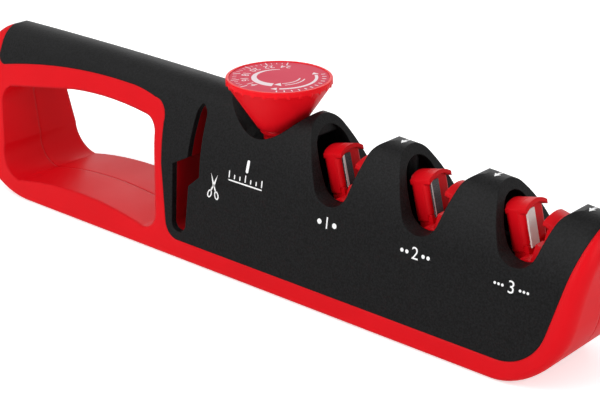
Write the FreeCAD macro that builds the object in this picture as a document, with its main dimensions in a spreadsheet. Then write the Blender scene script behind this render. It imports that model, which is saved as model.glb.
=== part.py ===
"""Pull-through knife sharpener with an adjustable angle.

X runs from the handle to the toe, Y across the blade slots, Z up from the table.
Lengths are in millimetres and angles in degrees.
"""
import FreeCAD, Part
import Sketcher
import math
import os

Vector = FreeCAD.Vector
Rotation = FreeCAD.Rotation
Placement = FreeCAD.Placement

SIZES = {
    # Overall form
    "length": 288.0,
    "foot_half_width": 21.9,
    "shoulder_half_width": 16.8,
    "shoulder_z": 36.8,
    "ridge_back_z": 66.5,
    "ridge_middle_z": 64.6,
    "ridge_front_z": 56.4,
    "crown_radius": 10.5,
    "wall": 2.4,
    "end_overrun": 4.0,
    "toe_rounding": 5.0,
    "heel_rounding": 2.5,
    "foot_rounding": 0.8,
    "pad_proud": 0.5,
    # Places along the length
    "toe_margin": 27.3,
    "slot_pitch": 37.5,
    "knob_gap": 37.0,
    "snip_gap": 28.9,
    "post_gap": 15.8,
    "hole_gap": 1.5,
    "hole_margin": 13.0,
    "grip_margin": 7.2,
    # Outline seen from the side
    "heel_radius": 40.0,
    "heel_corner_radius": 16.0,
    "heel_turn": 38.7,
    "top_corner_radius": 10.0,
    "toe_radius": 26.0,
    "toe_lean": 9.3,
    # Line between the black cover and the red base
    "rail_band": 6.9,
    "band_radius": 17.1,
    "band_margin": 29.7,
    "band_turn": 5.0,
    "grip_low_z": 52.0,
    "grip_high_z": 58.6,
    "grip_arc_radius": 290.0,
    "grip_arc_margin": 22.0,
    "grip_corner_radius": 4.0,
    "brow_radius": 60.0,
    "brow_margin": 7.0,
    "brow_drop": 2.0,
    "temple_radius": 7.0,
    "temple_drop": 9.6,
    "post_lean": 1.1,
    "post_knee": 2.8,
    "post_slant": 5.4,
    "post_foot_radius": 7.0,
    "post_foot_rise": 5.8,
    "post_foot_reach": 11.5,
    "part_gap": 0.06,
    # Hole of the handle
    "hole_top_left_z": 45.0,
    "hole_top_right_z": 50.7,
    "hole_floor_z": 7.4,
    "hole_heel_radius": 11.0,
    "hole_heel_reach": 12.0,
    "hole_heel_rise": 12.6,
    "hole_heel_lean": 2.5,
    "hole_floor_radius": 175.0,
    "hole_floor_rise": 0.4,
    "hole_post_low_radius": 6.2,
    "hole_post_low_reach": 7.0,
    "hole_post_low_rise": 6.6,
    "hole_post_overhang": 1.5,
    "hole_post_lean": 2.1,
    "hole_post_high_radius": 6.8,
    "hole_post_high_reach": 8.5,
    "hole_post_high_drop": 7.5,
    "hole_roof_drop": 0.6,
    "hole_roof_radius": 170.0,
    "hole_roof_reach": 48.5,
    "hole_top_radius": 7.0,
    "hole_top_reach": 6.5,
    "hole_top_drop": 7.4,
    # Blade slots
    "slot_floor_z": 38.2,
    "slot_floor_radius": 7.6,
    "slot_floor_shift": 0.4,
    "slot_handle_lean": 24.0,
    "slot_toe_lean": 14.0,
    "slot_skin": 2.2,
    "hump_rounding": 6.0,
    # Arched passage through the humps
    "passage_lead": 15.75,
    "passage_half_width": 10.3,
    "passage_low_z": 31.0,
    "passage_crown_drop": 3.6,
    "passage_crown_radius": 8.8,
    # Scissors slot
    "snip_low_width": 7.0,
    "snip_high_width": 6.0,
    "snip_step": 5.8,
    "snip_floor_z": 9.8,
    "snip_step_z": 33.4,
    "snip_top_z": 59.0,
    "snip_high_setback": 1.0,
    "snip_floor_radius": 3.6,
    "snip_tooth_rise": 4.4,
    "snip_rear_lean": 0.8,
    "snip_front_lean": 0.6,
    "snip_shelf_lean": 1.8,
    "snip_shelf_rise": 2.0,
    "snip_crown_radius": 4.6,
    "snip_crown_reach": 4.0,
    "snip_crown_drop": 4.5,
    "snip_brow_radius": 6.5,
    "snip_brow_drop": 5.0,
    "sleeve_wall": 1.8,
    "snip_rod_radius": 1.5,
    "snip_rod_length": 20.0,
    # Knob
    "knob_top_z": 72.7,
    "knob_radius": 18.95,
    "knob_band": 1.8,
    "knob_neck_z": 54.5,
    "knob_neck_radius": 8.1,
    "knob_stem_radius": 5.6,
    "knob_stem_z": 46.8,
    "knob_wall": 2.0,
    "knob_rim_ease": 0.4,
    "knob_neck_ease": 0.8,
    "dial_ledge": 1.5,
    "dial_radius": 17.8,
    "dial_thickness": 1.4,
    "dial_depth": 0.3,
    "pocket_floor_z": 49.8,
    "pocket_floor_radius": 11.8,
    "pocket_slope": 26.6,
    # Knob bearing, shaft and retainer
    "bearing_radius": 8.0,
    "bearing_flange_radius": 10.0,
    "bearing_flange_thickness": 2.0,
    "bearing_low_z": 34.6,
    "shaft_radius": 2.5,
    "shaft_flat": 1.9,
    "shaft_low_z": 30.2,
    "shaft_grip": 8.0,
    "washer_radius": 3.8,
    "washer_thickness": 0.8,
    "screw_head_height": 1.6,
    "screw_head_ease": 0.5,
    # Scroll cam
    "cam_radius": 12.0,
    "cam_low_z": 30.3,
    "cam_thickness": 4.0,
    "cam_ease": 0.6,
    "cam_hub_radius": 5.4,
    "cam_hub_top_z": 37.0,
    "scroll_radius": 7.0,
    "scroll_travel": 1.745,
    "scroll_turn": 140.0,
    "scroll_depth": 2.2,
    "scroll_overrun": 8.0,
    "spring_wire": 0.8,
    "spring_width": 1.0,
    "spring_radius": 4.1,
    "spring_turns": 4.0,
    # Sliders
    "slider_inner_y": 6.7,
    "slider_outer_y": 9.7,
    "slider_low_z": 20.6,
    "slider_height": 7.0,
    "tab_width": 4.0,
    "tab_bite": 0.5,
    "slider_tail": 6.0,
    "follower_radius": 1.2,
    # Carriers
    "pivot_z": 35.2,
    "pin_radius": 1.2,
    "carrier_tilt": 14.0,
    "carrier_swing": 10.0,
    "knuckle_radius": 4.0,
    "block_half_length": 6.0,
    "block_depth": 6.6,
    "block_low": 6.0,
    "block_top": 18.6,
    "block_rounding": 1.6,
    "block_ease": 0.8,
    "toe_side_drop": 2.2,
    "roof_rise": 2.0,
    "roof_thickness": 1.5,
    "roof_lip": 1.0,
    "bar_proud": 0.6,
    "bar_width": 4.2,
    "bar_depth": 2.0,
    "bar_height": 12.3,
    "bar_start": 5.5,
    "bar_margin": 1.7,
    "bar_ease": 0.3,
    "tail_reach": 10.0,
    "cheek_drop": 1.2,
    "cheek_rise": 4.0,
    "cheek_bite": 0.4,
    "tail_radius": 1.8,
    "tail_width": 3.0,
    # Carrier frame
    "frame_lead": 11.7,
    "frame_tail": 10.3,
    "frame_inner_y": 10.0,
    "frame_outer_y": 12.3,
    "frame_low_z": 18.0,
    "frame_floor": 2.4,
    "frame_window_half": 6.75,
    "frame_step": 14.3,
    "rib_thickness": 2.0,
    # Fasteners and feet
    "post_radius": 3.0,
    "post_offset_y": 3.4,
    "post_low_z": 9.0,
    "knob_post_gap": 16.2,
    "heel_screw_margin": 6.3,
    "heel_screw_drop": 3.0,
    "brow_screw_reach": 30.0,
    "brow_screw_drop": 3.6,
    "rail_screw_reach": 20.0,
    "rail_screw_rise": 4.6,
    "floor_screw_reach": 15.3,
    "floor_screw_rise": 3.6,
    "toe_screw_margin": 19.0,
    "toe_screw_rise": 9.5,
    "screw_radius": 1.5,
    "screw_head_radius": 2.7,
    "screw_head_thickness": 2.0,
    "screw_recess_radius": 3.1,
    "boss_radius": 4.2,
    "pad_radius": 6.0,
    "pad_thickness": 1.8,
    # Clearances
    "turn_clearance": 0.08,
    "slide_clearance": 0.15,
    "side_clearance": 0.3,
}


class Size:
    """A number that also knows the expression it came from."""

    def __init__(self, value, text):
        self.value = value
        self.text = text

    def __add__(self, other):
        other = as_size(other)
        return Size(self.value + other.value, f"({self.text} + {other.text})")

    def __sub__(self, other):
        other = as_size(other)
        return Size(self.value - other.value, f"({self.text} - {other.text})")

    def __mul__(self, other):
        other = as_size(other)
        return Size(self.value * other.value, f"({self.text} * {other.text})")

    def __truediv__(self, other):
        other = as_size(other)
        return Size(self.value / other.value, f"({self.text} / {other.text})")

    def __radd__(self, other):
        return as_size(other) + self

    def __rsub__(self, other):
        return as_size(other) - self

    def __rmul__(self, other):
        return as_size(other) * self

    def __neg__(self):
        return Size(-self.value, f"(0 - {self.text})")


def as_size(number):
    if isinstance(number, Size):
        return number
    return Size(float(number), f"({float(number):.6f})")


def sine(angle):
    angle = as_size(angle)
    return Size(math.sin(math.radians(angle.value)), f"sin({angle.text} * 1 deg)")


def cosine(angle):
    angle = as_size(angle)
    return Size(math.cos(math.radians(angle.value)), f"cos({angle.text} * 1 deg)")


def tangent(angle):
    return sine(angle) / cosine(angle)


class Sheet:
    """The document's spreadsheet, read as attributes."""

    def __init__(self, document, numbers):
        self.cells = document.addObject("Spreadsheet::Sheet", "sizes")
        for row, (name, number) in enumerate(numbers.items(), start=1):
            self.cells.set(f"A{row}", name)
            self.cells.set(f"B{row}", str(number))
            self.cells.setAlias(f"B{row}", name)
        document.recompute()

    def __getattr__(self, name):
        return Size(float(self.cells.get(name)), f"sizes.{name}")


doc = FreeCAD.newDocument("knife_sharpener")
s = Sheet(doc, SIZES)


# Drawing and solid helpers

def bind(item, prop, size):
    size = as_size(size)
    item.setExpression(prop, size.text)


def place(item, x=0, y=0, z=0):
    for axis, size in zip("xyz", (x, y, z)):
        if isinstance(size, Size):
            item.setExpression(f"Placement.Base.{axis}", size.text)
        elif size:
            item.setExpression(f"Placement.Base.{axis}", f"{size}")


def origin_plane(body, role):
    for feature in body.Origin.OriginFeatures:
        if feature.Role == role:
            return feature
    raise ValueError(role)


class Turn:
    """An arc to a point, which bends left unless left is False."""

    def __init__(self, across, up, radius, left=True):
        self.across = as_size(across)
        self.up = as_size(up)
        self.radius = as_size(radius)
        self.left = left


class Step:
    """A straight line to a point."""

    def __init__(self, across, up):
        self.across = as_size(across)
        self.up = as_size(up)


def arc_piece(start, goal):
    """The short arc from start to the goal's point."""
    ax, ay = start.across.value, start.up.value
    bx, by = goal.across.value, goal.up.value
    radius = goal.radius.value
    chord = math.hypot(bx - ax, by - ay)
    rise = math.sqrt(max(radius * radius - chord * chord / 4, 0.0))
    side = 1 if goal.left else -1
    cx = (ax + bx) / 2 - side * rise * (by - ay) / chord
    cy = (ay + by) / 2 + side * rise * (bx - ax) / chord
    first = math.atan2(ay - cy, ax - cx)
    last = math.atan2(by - cy, bx - cx)
    if not goal.left:
        first, last = last, first
    if last < first:
        last += 2 * math.pi
    circle = Part.Circle(Vector(cx, cy, 0), Vector(0, 0, 1), radius)
    return Part.ArcOfCircle(circle, first, last)


def draw(sketch, path):
    """Draw a closed outline of Step and Turn pieces, with every point dimensioned."""
    Constraint = Sketcher.Constraint
    ends = []
    count = len(path)
    for number, goal in enumerate(path):
        start = path[number - 1]
        if isinstance(goal, Turn):
            sketch.addGeometry(arc_piece(start, goal), False)
            ends.append((1, 2) if goal.left else (2, 1))
        else:
            a = Vector(start.across.value, start.up.value, 0)
            b = Vector(goal.across.value, goal.up.value, 0)
            sketch.addGeometry(Part.LineSegment(a, b), False)
            ends.append((1, 2))
    for number, goal in enumerate(path):
        following = (number + 1) % count
        sketch.addConstraint(Constraint("Coincident", number, ends[number][1], following, ends[following][0]))
    for number, goal in enumerate(path):
        for kind, size in (("DistanceX", goal.across), ("DistanceY", goal.up)):
            index = sketch.addConstraint(Constraint(kind, -1, 1, number, ends[number][1], size.value))
            sketch.setExpression(f"Constraints[{index}]", size.text)
        if isinstance(goal, Turn):
            index = sketch.addConstraint(Constraint("Radius", number, goal.radius.value))
            sketch.setExpression(f"Constraints[{index}]", goal.radius.text)
    return sketch


def body_sketch(body, role, name, offset=0):
    sketch = body.newObject("Sketcher::SketchObject", name)
    sketch.AttachmentSupport = [(origin_plane(body, role), "")]
    sketch.MapMode = "FlatFace"
    if isinstance(offset, Size) or offset:
        sketch.setExpression("AttachmentOffset.Base.z", as_size(offset).text)
    return sketch


def prism(name, role, low, high, path):
    """A padded outline from low to high along the plane's own axis."""
    body = doc.addObject("PartDesign::Body", name)
    low, high = as_size(low), as_size(high)
    offset = -high if role == "XZ_Plane" else low
    sketch = draw(body_sketch(body, role, name + "_outline", offset), path)
    pad = body.newObject("PartDesign::Pad", name + "_pad")
    pad.Profile = sketch
    bind(pad, "Length", high - low)
    return body


def turned(name, path):
    """An outline of radius and height turned about the Z axis."""
    body = doc.addObject("PartDesign::Body", name)
    sketch = draw(body_sketch(body, "XZ_Plane", name + "_outline"), path)
    turn = body.newObject("PartDesign::Revolution", name + "_turn")
    turn.Profile = sketch
    turn.ReferenceAxis = (sketch, ["V_Axis"])
    turn.Angle = 360
    return body


def soften(body, name, radius):
    """Round the upright edges on the front side of a padded block."""
    doc.recompute()
    pad = body.Tip
    front = min(edge.CenterOfMass.y for edge in pad.Shape.Edges)
    upright = [
        f"Edge{number}"
        for number, edge in enumerate(pad.Shape.Edges, start=1)
        if abs(edge.CenterOfMass.y - front) < 0.01 and edge.BoundBox.ZLength > radius.value * 3
    ]
    fillet = body.newObject("PartDesign::Fillet", name)
    fillet.Base = (pad, upright)
    bind(fillet, "Radius", radius)


def rod(name, radius, length, x=0, y=0, z=0, along="Z"):
    item = doc.addObject("Part::Cylinder", name)
    bind(item, "Radius", radius)
    bind(item, "Height", length)
    if along == "Y":
        item.Placement = Placement(Vector(0, 0, 0), Rotation(Vector(1, 0, 0), -90))
    place(item, x, y, z)
    return item


def block(name, x, y, z):
    """A box from pairs of low and high sizes."""
    item = doc.addObject("Part::Box", name)
    for prop, axis, (low, high) in (("Length", "x", x), ("Width", "y", y), ("Height", "z", z)):
        low, high = as_size(low), as_size(high)
        bind(item, prop, high - low)
        item.setExpression(f"Placement.Base.{axis}", low.text)
    return item


def fuse(name, items):
    item = doc.addObject("Part::MultiFuse", name)
    item.Shapes = items
    return item


def common(name, items):
    item = doc.addObject("Part::MultiCommon", name)
    item.Shapes = items
    return item


def cut(name, base, tool):
    item = doc.addObject("Part::Cut", name)
    item.Base = base
    item.Tool = tool
    return item


def side_sketch(name, path):
    """A sketch in the XZ plane that stands by itself."""
    sketch = doc.addObject("Sketcher::SketchObject", name)
    sketch.Placement = Placement(Vector(0, 0, 0), Rotation(Vector(1, 0, 0), 90))
    return draw(sketch, path)


def grown(name, sketch, amount):
    item = doc.addObject("Part::Offset2D", name)
    item.Source = sketch
    item.Join = "Arc"
    bind(item, "Value", amount)
    return item


def across(name, profile):
    """A side profile carried right across the body."""
    item = doc.addObject("Part::Extrusion", name)
    item.Base = profile
    item.DirMode = "Custom"
    item.Dir = Vector(0, 1, 0)
    item.Solid = True
    item.Symmetric = True
    bind(item, "LengthFwd", s.foot_half_width * 3)
    return item


# Places along the length, counted from the toe and from the heel

slot_last_x = s.length / 2 - s.toe_margin
slot_centres = [slot_last_x - s.slot_pitch * number for number in (2, 1, 0)]
knob_x = slot_centres[0] - s.knob_gap
snip_x = knob_x - s.snip_gap
post_edge_x = snip_x - s.post_gap
hole_right_x = post_edge_x - s.hole_gap
hole_left_x = s.hole_margin - s.length / 2
grip_end_x = s.grip_margin - s.length / 2

# Outer form of the whole housing

def ridge_at(x):
    """Height of the ridge line at a place along the length."""
    share = as_size(x) / (s.length / 2)
    tilt = (s.ridge_front_z - s.ridge_back_z) / 2
    sag = (s.ridge_front_z + s.ridge_back_z) / 2 - s.ridge_middle_z
    return s.ridge_middle_z + tilt * share + sag * share * share


def section(name, x, halves, heights, crown):
    """A symmetric cross-section: leaning sides, round flanks and a round crown.

    halves are the half widths at foot and shoulder, and heights are
    the levels of foot, shoulder and ridge.
    """
    Constraint = Sketcher.Constraint
    foot, shoulder = [as_size(half) for half in halves]
    foot_z, shoulder_z, ridge_z = [as_size(height) for height in heights]
    sketch = doc.addObject("Sketcher::SketchObject", name)
    sketch.Placement = Placement(Vector(0, 0, 0), Rotation(Vector(1, 1, 1), 120))
    sketch.setExpression("Placement.Base.x", as_size(x).text)

    px, pz = shoulder.value, shoulder_z.value
    radius = as_size(crown).value
    middle_z = ridge_z.value - radius
    lean = math.atan2(foot.value - px, pz - foot_z.value)
    dx, dz = px, pz - middle_z
    toward = -dx * math.cos(lean) - dz * math.sin(lean)
    flank = (radius * radius - dx * dx - dz * dz) / (2 * (toward + radius))
    cx = px - flank * math.cos(lean)
    cz = pz - flank * math.sin(lean)
    join = math.atan2(middle_z - cz, -cx)

    def line(ax, az, bx, bz):
        sketch.addGeometry(Part.LineSegment(Vector(ax, az, 0), Vector(bx, bz, 0)), False)

    def arc(x0, z0, r, first, last):
        circle = Part.Circle(Vector(x0, z0, 0), Vector(0, 0, 1), r)
        sketch.addGeometry(Part.ArcOfCircle(circle, first, last), False)

    line(-foot.value, foot_z.value, foot.value, foot_z.value)
    line(foot.value, foot_z.value, px, pz)
    arc(cx, cz, flank, lean, join)
    arc(0, middle_z, radius, join, math.pi - join)
    arc(-cx, cz, flank, math.pi - join, math.pi - lean)
    line(-px, pz, -foot.value, foot_z.value)
    for first, second in ((0, 1), (5, 0)):
        sketch.addConstraint(Constraint("Coincident", first, 2, second, 1))
    for first in (1, 2, 3, 4):
        sketch.addConstraint(Constraint("Tangent", first, 2, first + 1, 1))
    sketch.addConstraint(Constraint("Symmetric", 1, 1, 5, 2, -2))
    sketch.addConstraint(Constraint("Symmetric", 1, 2, 5, 1, -2))
    sketch.addConstraint(Constraint("PointOnObject", 3, 3, -2))
    for end, half, height in ((1, foot, foot_z), (2, shoulder, shoulder_z)):
        for kind, size in (("DistanceX", half), ("DistanceY", height)):
            index = sketch.addConstraint(Constraint(kind, -1, 1, 1, end, size.value))
            sketch.setExpression(f"Constraints[{index}]", size.text)
    index = sketch.addConstraint(Constraint("DistanceY", -1, 1, 3, 3, middle_z))
    sketch.setExpression(f"Constraints[{index}]", (ridge_z - crown).text)
    index = sketch.addConstraint(Constraint("Radius", 3, radius))
    sketch.setExpression(f"Constraints[{index}]", as_size(crown).text)
    return sketch


def tapering_form(name, halves, heights, drop, crown):
    """Three sections along the length, lofted; drop lowers the ridge."""
    sections = []
    reach = s.length / 2 + s.end_overrun
    for part, x in (("back", -reach), ("middle", as_size(0)), ("front", reach)):
        ridge = ridge_at(x) - drop
        sections.append(section(f"{name}_{part}", x, halves, (*heights, ridge), crown))
    loft = doc.addObject("Part::Loft", name)
    loft.Sections = sections
    loft.Solid = True
    return loft


side_slope = (s.foot_half_width - s.shoulder_half_width) / (s.shoulder_z - s.pad_proud)
loft_foot_half = s.foot_half_width + side_slope * s.wall
outer_loft = tapering_form(
    "outer_loft",
    (loft_foot_half, s.shoulder_half_width),
    (s.pad_proud - s.wall, s.shoulder_z),
    0,
    s.crown_radius,
)
inner_loft = tapering_form(
    "inner_loft",
    (loft_foot_half - s.wall, s.shoulder_half_width - s.wall),
    (s.pad_proud - s.wall, s.shoulder_z),
    s.wall,
    s.crown_radius - s.wall,
)

above = s.ridge_back_z + s.wall * 4
bottom = s.pad_proud
back_x = -(s.length / 2)
toe_rise = bottom + s.toe_radius * (1 - sine(s.toe_lean))
toe_x = s.length / 2 - s.toe_radius * cosine(s.toe_lean) - (s.ridge_front_z - toe_rise) * tangent(s.toe_lean)
toe_end_x = toe_x + s.toe_radius * cosine(s.toe_lean)
heel_join_x = back_x + s.heel_corner_radius * (1 - sine(s.heel_turn))
heel_x = heel_join_x + s.heel_radius * sine(s.heel_turn)
heel_join_z = bottom + s.heel_radius * (1 - cosine(s.heel_turn))
heel_top_z = heel_join_z + s.heel_corner_radius * cosine(s.heel_turn)
side_outline = side_sketch("side_outline", [
    Step(toe_x, bottom),
    Turn(toe_end_x, toe_rise, s.toe_radius),
    Step(toe_end_x + (above - toe_rise) * tangent(s.toe_lean), above),
    Step(back_x + s.top_corner_radius, above),
    Step(back_x + s.top_corner_radius, s.ridge_back_z),
    Turn(back_x, s.ridge_back_z - s.top_corner_radius, s.top_corner_radius),
    Step(back_x, heel_top_z),
    Turn(heel_join_x, heel_join_z, s.heel_corner_radius),
    Turn(heel_x, bottom, s.heel_radius),
])
side_form = across("side_form", side_outline)
inner_side_form = across("inner_side_form", grown("inner_side_outline", side_outline, -s.wall))
raw_form = common("raw_form", [outer_loft, side_form])


def edge_pair(item, x, z):
    """Numbers of the front and rear edges whose middles lie nearest to a place."""
    pair = []
    for side in (-1, 1):
        gaps = {
            math.hypot(edge.CenterOfMass.x - x.value, edge.CenterOfMass.z - z.value): number
            for number, edge in enumerate(item.Shape.Edges, start=1)
            if edge.CenterOfMass.y * side > s.wall.value
        }
        pair.append(gaps[min(gaps)])
    return pair


def rounded(name, item, places):
    """Fillets on pairs of edges; each place gives x, z and the radius at the edge's two ends."""
    doc.recompute()
    form = doc.addObject("Part::Fillet", name)
    form.Base = item
    form.Edges = [
        (number, first.value, last.value)
        for x, z, first, last in places
        for number in edge_pair(item, x, z)
    ]
    return form


toe_middle_x = toe_x + s.toe_radius * 0.5
toe_middle_z = bottom + s.toe_radius * 0.25
heel_middle_x = heel_join_x + (heel_x - heel_join_x) * 0.5
outer_form = rounded("outer_form", raw_form, [
    (toe_middle_x, toe_middle_z, s.toe_rounding, s.foot_rounding),
    (as_size(0), bottom, s.foot_rounding, s.foot_rounding),
    (toe_end_x, (toe_rise + s.shoulder_z) / 2, s.toe_rounding, s.toe_rounding),
    (toe_end_x, (s.ridge_front_z + s.shoulder_z) / 2, s.toe_rounding, s.toe_rounding),
    (heel_middle_x, heel_join_z * 0.5, s.foot_rounding, s.foot_rounding),
    (back_x, (heel_join_z + heel_top_z) / 2, s.foot_rounding, s.heel_rounding),
    (back_x, (heel_top_z + s.shoulder_z) / 2, s.heel_rounding, s.heel_rounding),
    (back_x, (s.ridge_back_z + s.shoulder_z) / 2, s.heel_rounding, s.heel_rounding),
])

# Hole of the handle

hole_outline = side_sketch("hole_outline", [
    Step(hole_left_x + s.hole_heel_lean, s.hole_floor_z + s.hole_heel_rise),
    Turn(hole_left_x + s.hole_heel_reach, s.hole_floor_z, s.hole_heel_radius),
    Turn(
        hole_right_x + s.hole_post_overhang - s.hole_post_low_reach,
        s.hole_floor_z + s.hole_floor_rise,
        s.hole_floor_radius, left=False,
    ),
    Turn(
        hole_right_x + s.hole_post_overhang,
        s.hole_floor_z + s.hole_post_low_rise,
        s.hole_post_low_radius,
    ),
    Step(hole_right_x - s.hole_post_lean, s.hole_top_right_z - s.hole_post_high_drop),
    Turn(
        hole_right_x - s.hole_post_high_reach,
        s.hole_top_right_z - s.hole_roof_drop,
        s.hole_post_high_radius,
    ),
    Turn(hole_right_x - s.hole_roof_reach, s.hole_top_right_z, s.hole_roof_radius),
    Step(hole_left_x + s.hole_top_reach, s.hole_top_left_z),
    Turn(hole_left_x, s.hole_top_left_z - s.hole_top_drop, s.hole_top_radius),
])
hole = across("hole", hole_outline)
hole_wall = across("hole_wall", grown("hole_wall_outline", hole_outline, s.wall))

# Region of the black cover, seen from the side

band_radius = s.band_radius
band_centre_x = s.length / 2 - s.band_margin
band_z = bottom + s.rail_band + band_radius
band_lean = s.toe_lean + s.band_turn
band_x = band_centre_x + band_radius * cosine(band_lean)
band_end_z = band_z - band_radius * sine(band_lean)


def cover_path(gap):
    """The border line of the cover, drawn in by a gap on its inner side."""
    floor = band_z - band_radius + gap
    post = post_edge_x + gap
    return [
        Step(band_centre_x, floor),
        Turn(band_x - gap, band_end_z, band_radius - gap),
        Step(band_x - gap + (above - band_end_z) * tangent(band_lean), above),
        Step(grip_end_x + gap, above),
        Step(grip_end_x + gap, s.grip_low_z + s.grip_corner_radius + gap),
        Turn(grip_end_x + s.grip_corner_radius, s.grip_low_z + gap, s.grip_corner_radius),
        Turn(post_edge_x - s.grip_arc_margin, s.grip_high_z + gap, s.grip_arc_radius, left=False),
        Turn(post_edge_x - s.brow_margin, s.grip_high_z - s.brow_drop + gap, s.brow_radius, left=False),
        Turn(post, s.grip_high_z - s.temple_drop, s.temple_radius, left=False),
        Step(post + s.post_lean, s.shoulder_z - s.post_knee),
        Step(post + s.post_slant, floor + s.post_foot_rise),
        Turn(post + s.post_foot_reach, floor, s.post_foot_radius),
    ]


cover_region = across("cover_region", side_sketch("cover_outline", cover_path(s.part_gap)))
base_limit = across("base_limit", side_sketch("base_outline", cover_path(0)))

# Cuts that open the cover


def slot_path(x):
    """A blade slot: round floor, leaning flanks and a round shoulder on the toe side."""
    radius = s.slot_floor_radius
    x = x - s.slot_floor_shift
    toe_reach = radius * cosine(s.slot_toe_lean)
    toe_z = s.slot_floor_z + radius * (1 - sine(s.slot_toe_lean))
    handle_reach = radius * cosine(s.slot_handle_lean)
    handle_z = s.slot_floor_z + radius * (1 - sine(s.slot_handle_lean))
    rounding = s.hump_rounding
    top_z = ridge_at(x + s.slot_pitch / 2)
    turn_z = top_z - rounding
    flank_x = x + toe_reach + (turn_z - toe_z) * tangent(s.slot_toe_lean)
    turn_x = flank_x + rounding / cosine(s.slot_toe_lean)
    return [
        Turn(x + toe_reach, toe_z, radius),
        Step(turn_x - rounding * cosine(s.slot_toe_lean), turn_z + rounding * sine(s.slot_toe_lean)),
        Turn(turn_x, top_z, rounding, left=False),
        Step(turn_x, above),
        Step(x - handle_reach - (above - handle_z) * tangent(s.slot_handle_lean), above),
        Step(x - handle_reach, handle_z),
    ]


slots = []
slot_skins = []
for number, x in enumerate(slot_centres, start=1):
    outline = side_sketch(f"slot_outline_{number}", slot_path(x))
    slots.append(across(f"slot_{number}", outline))
    slot_skins.append(across(f"slot_skin_{number}", grown(f"slot_skin_outline_{number}", outline, s.slot_skin)))


def pocket(name, skin):
    """The conical pocket round the knob, or its skin."""
    floor = s.pocket_floor_z - skin
    radius = s.pocket_floor_radius + skin
    edge = s.slot_skin
    body = turned(name, [
        Step(radius - edge, floor),
        Step(radius, floor + edge),
        Step(radius + (above - floor) * tangent(s.pocket_slope), above),
        Step(0, above),
        Step(0, floor),
    ])
    place(body, knob_x)
    return body


knob_pocket = pocket("knob_pocket", as_size(0))
pocket_skin = pocket("pocket_skin", s.slot_skin)

passage_half = s.passage_half_width
passage_loft = tapering_form(
    "passage_loft",
    (passage_half, passage_half - s.side_clearance),
    (s.passage_low_z, s.shoulder_z + 5),
    s.passage_crown_drop,
    s.passage_crown_radius,
)
passage_span = block(
    "passage_span",
    (slot_centres[0] - s.passage_lead, slot_last_x + s.passage_lead),
    (-s.foot_half_width, s.foot_half_width),
    (s.passage_low_z, above),
)
passage = common("passage", [passage_loft, passage_span])

snip_left = snip_x - s.snip_low_width
snip_high_left = snip_x - s.snip_high_setback
snip_high_right = snip_high_left + s.snip_high_width
snip_outline = side_sketch("snip_outline", [
    Step(snip_x, s.snip_step_z - s.snip_tooth_rise),
    Step(snip_high_right, s.snip_step_z),
    Step(snip_high_right - s.snip_rear_lean, s.snip_top_z - s.snip_crown_drop),
    Turn(snip_high_right - s.snip_crown_reach, s.snip_top_z, s.snip_crown_radius),
    Turn(snip_high_left, s.snip_top_z - s.snip_brow_drop, s.snip_brow_radius),
    Step(snip_high_left - s.snip_front_lean, s.snip_step_z + s.snip_step),
    Step(snip_left - s.snip_shelf_lean, s.snip_step_z + s.snip_shelf_rise),
    Step(snip_left, s.snip_floor_z + s.snip_floor_radius),
    Turn(snip_x, s.snip_floor_z + s.snip_floor_radius, s.snip_floor_radius),
])
snip_slot = across("snip_slot", snip_outline)
sleeve_outer = across("sleeve_outer", grown("sleeve_outline", snip_outline, s.sleeve_wall))

# Hollow inside the housing

hollow_raw = common("hollow_raw", [inner_loft, inner_side_form])
hollow = cut("hollow", hollow_raw, fuse("hollow_limits", [hole_wall, pocket_skin, *slot_skins]))

# Top cover

post_places = [
    (knob_x - s.knob_post_gap, -s.post_offset_y),
    (slot_centres[1] - s.slot_pitch / 2, s.post_offset_y),
    (slot_centres[2] - s.slot_pitch / 2, -s.post_offset_y),
]
posts = [
    rod(f"post_{number}", s.post_radius, above - s.post_low_z, x, y, s.post_low_z)
    for number, (x, y) in enumerate(post_places, start=1)
]
post_screw_holes = [
    rod(f"post_screw_hole_{number}", s.screw_radius, s.snip_floor_z, x, y, s.post_low_z)
    for number, (x, y) in enumerate(post_places, start=1)
]
saddle_ribs = []
for number, x in enumerate(slot_centres, start=1):
    for side in (-1, 1):
        near = s.passage_half_width
        far = s.frame_outer_y
        span = (near, far) if side > 0 else (-far, -near)
        saddle_ribs.append(block(
            f"saddle_rib_{number}_{'rear' if side > 0 else 'front'}",
            (x - s.knuckle_radius, x + s.knuckle_radius),
            span,
            (s.pivot_z + s.part_gap, s.slot_floor_z),
        ))
cover_full = common("cover_full", [outer_form, cover_region])
cover_shell = cut("cover_shell", cover_full, fuse("cover_openings", [hollow, passage]))
posts_inside = common("posts_inside", [fuse("posts", posts), outer_form])
cover_solid = fuse("cover_solid", [cover_shell, posts_inside, *saddle_ribs])
bearing_hole = rod("bearing_hole", s.bearing_radius, s.slot_skin * 3, knob_x, 0, s.pocket_floor_z - s.slot_skin * 2)
pin_rests = [
    rod(f"pin_rest_{number}", s.pin_radius, s.frame_outer_y * 2, x, -s.frame_outer_y, s.pivot_z, along="Y")
    for number, x in enumerate(slot_centres, start=1)
]
cover_cuts = fuse(
    "cover_cuts",
    [*slots, knob_pocket, snip_slot, bearing_hole, *post_screw_holes, *pin_rests],
)
top_cover = cut("top_cover", cover_solid, cover_cuts)

# Base in two halves

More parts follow.
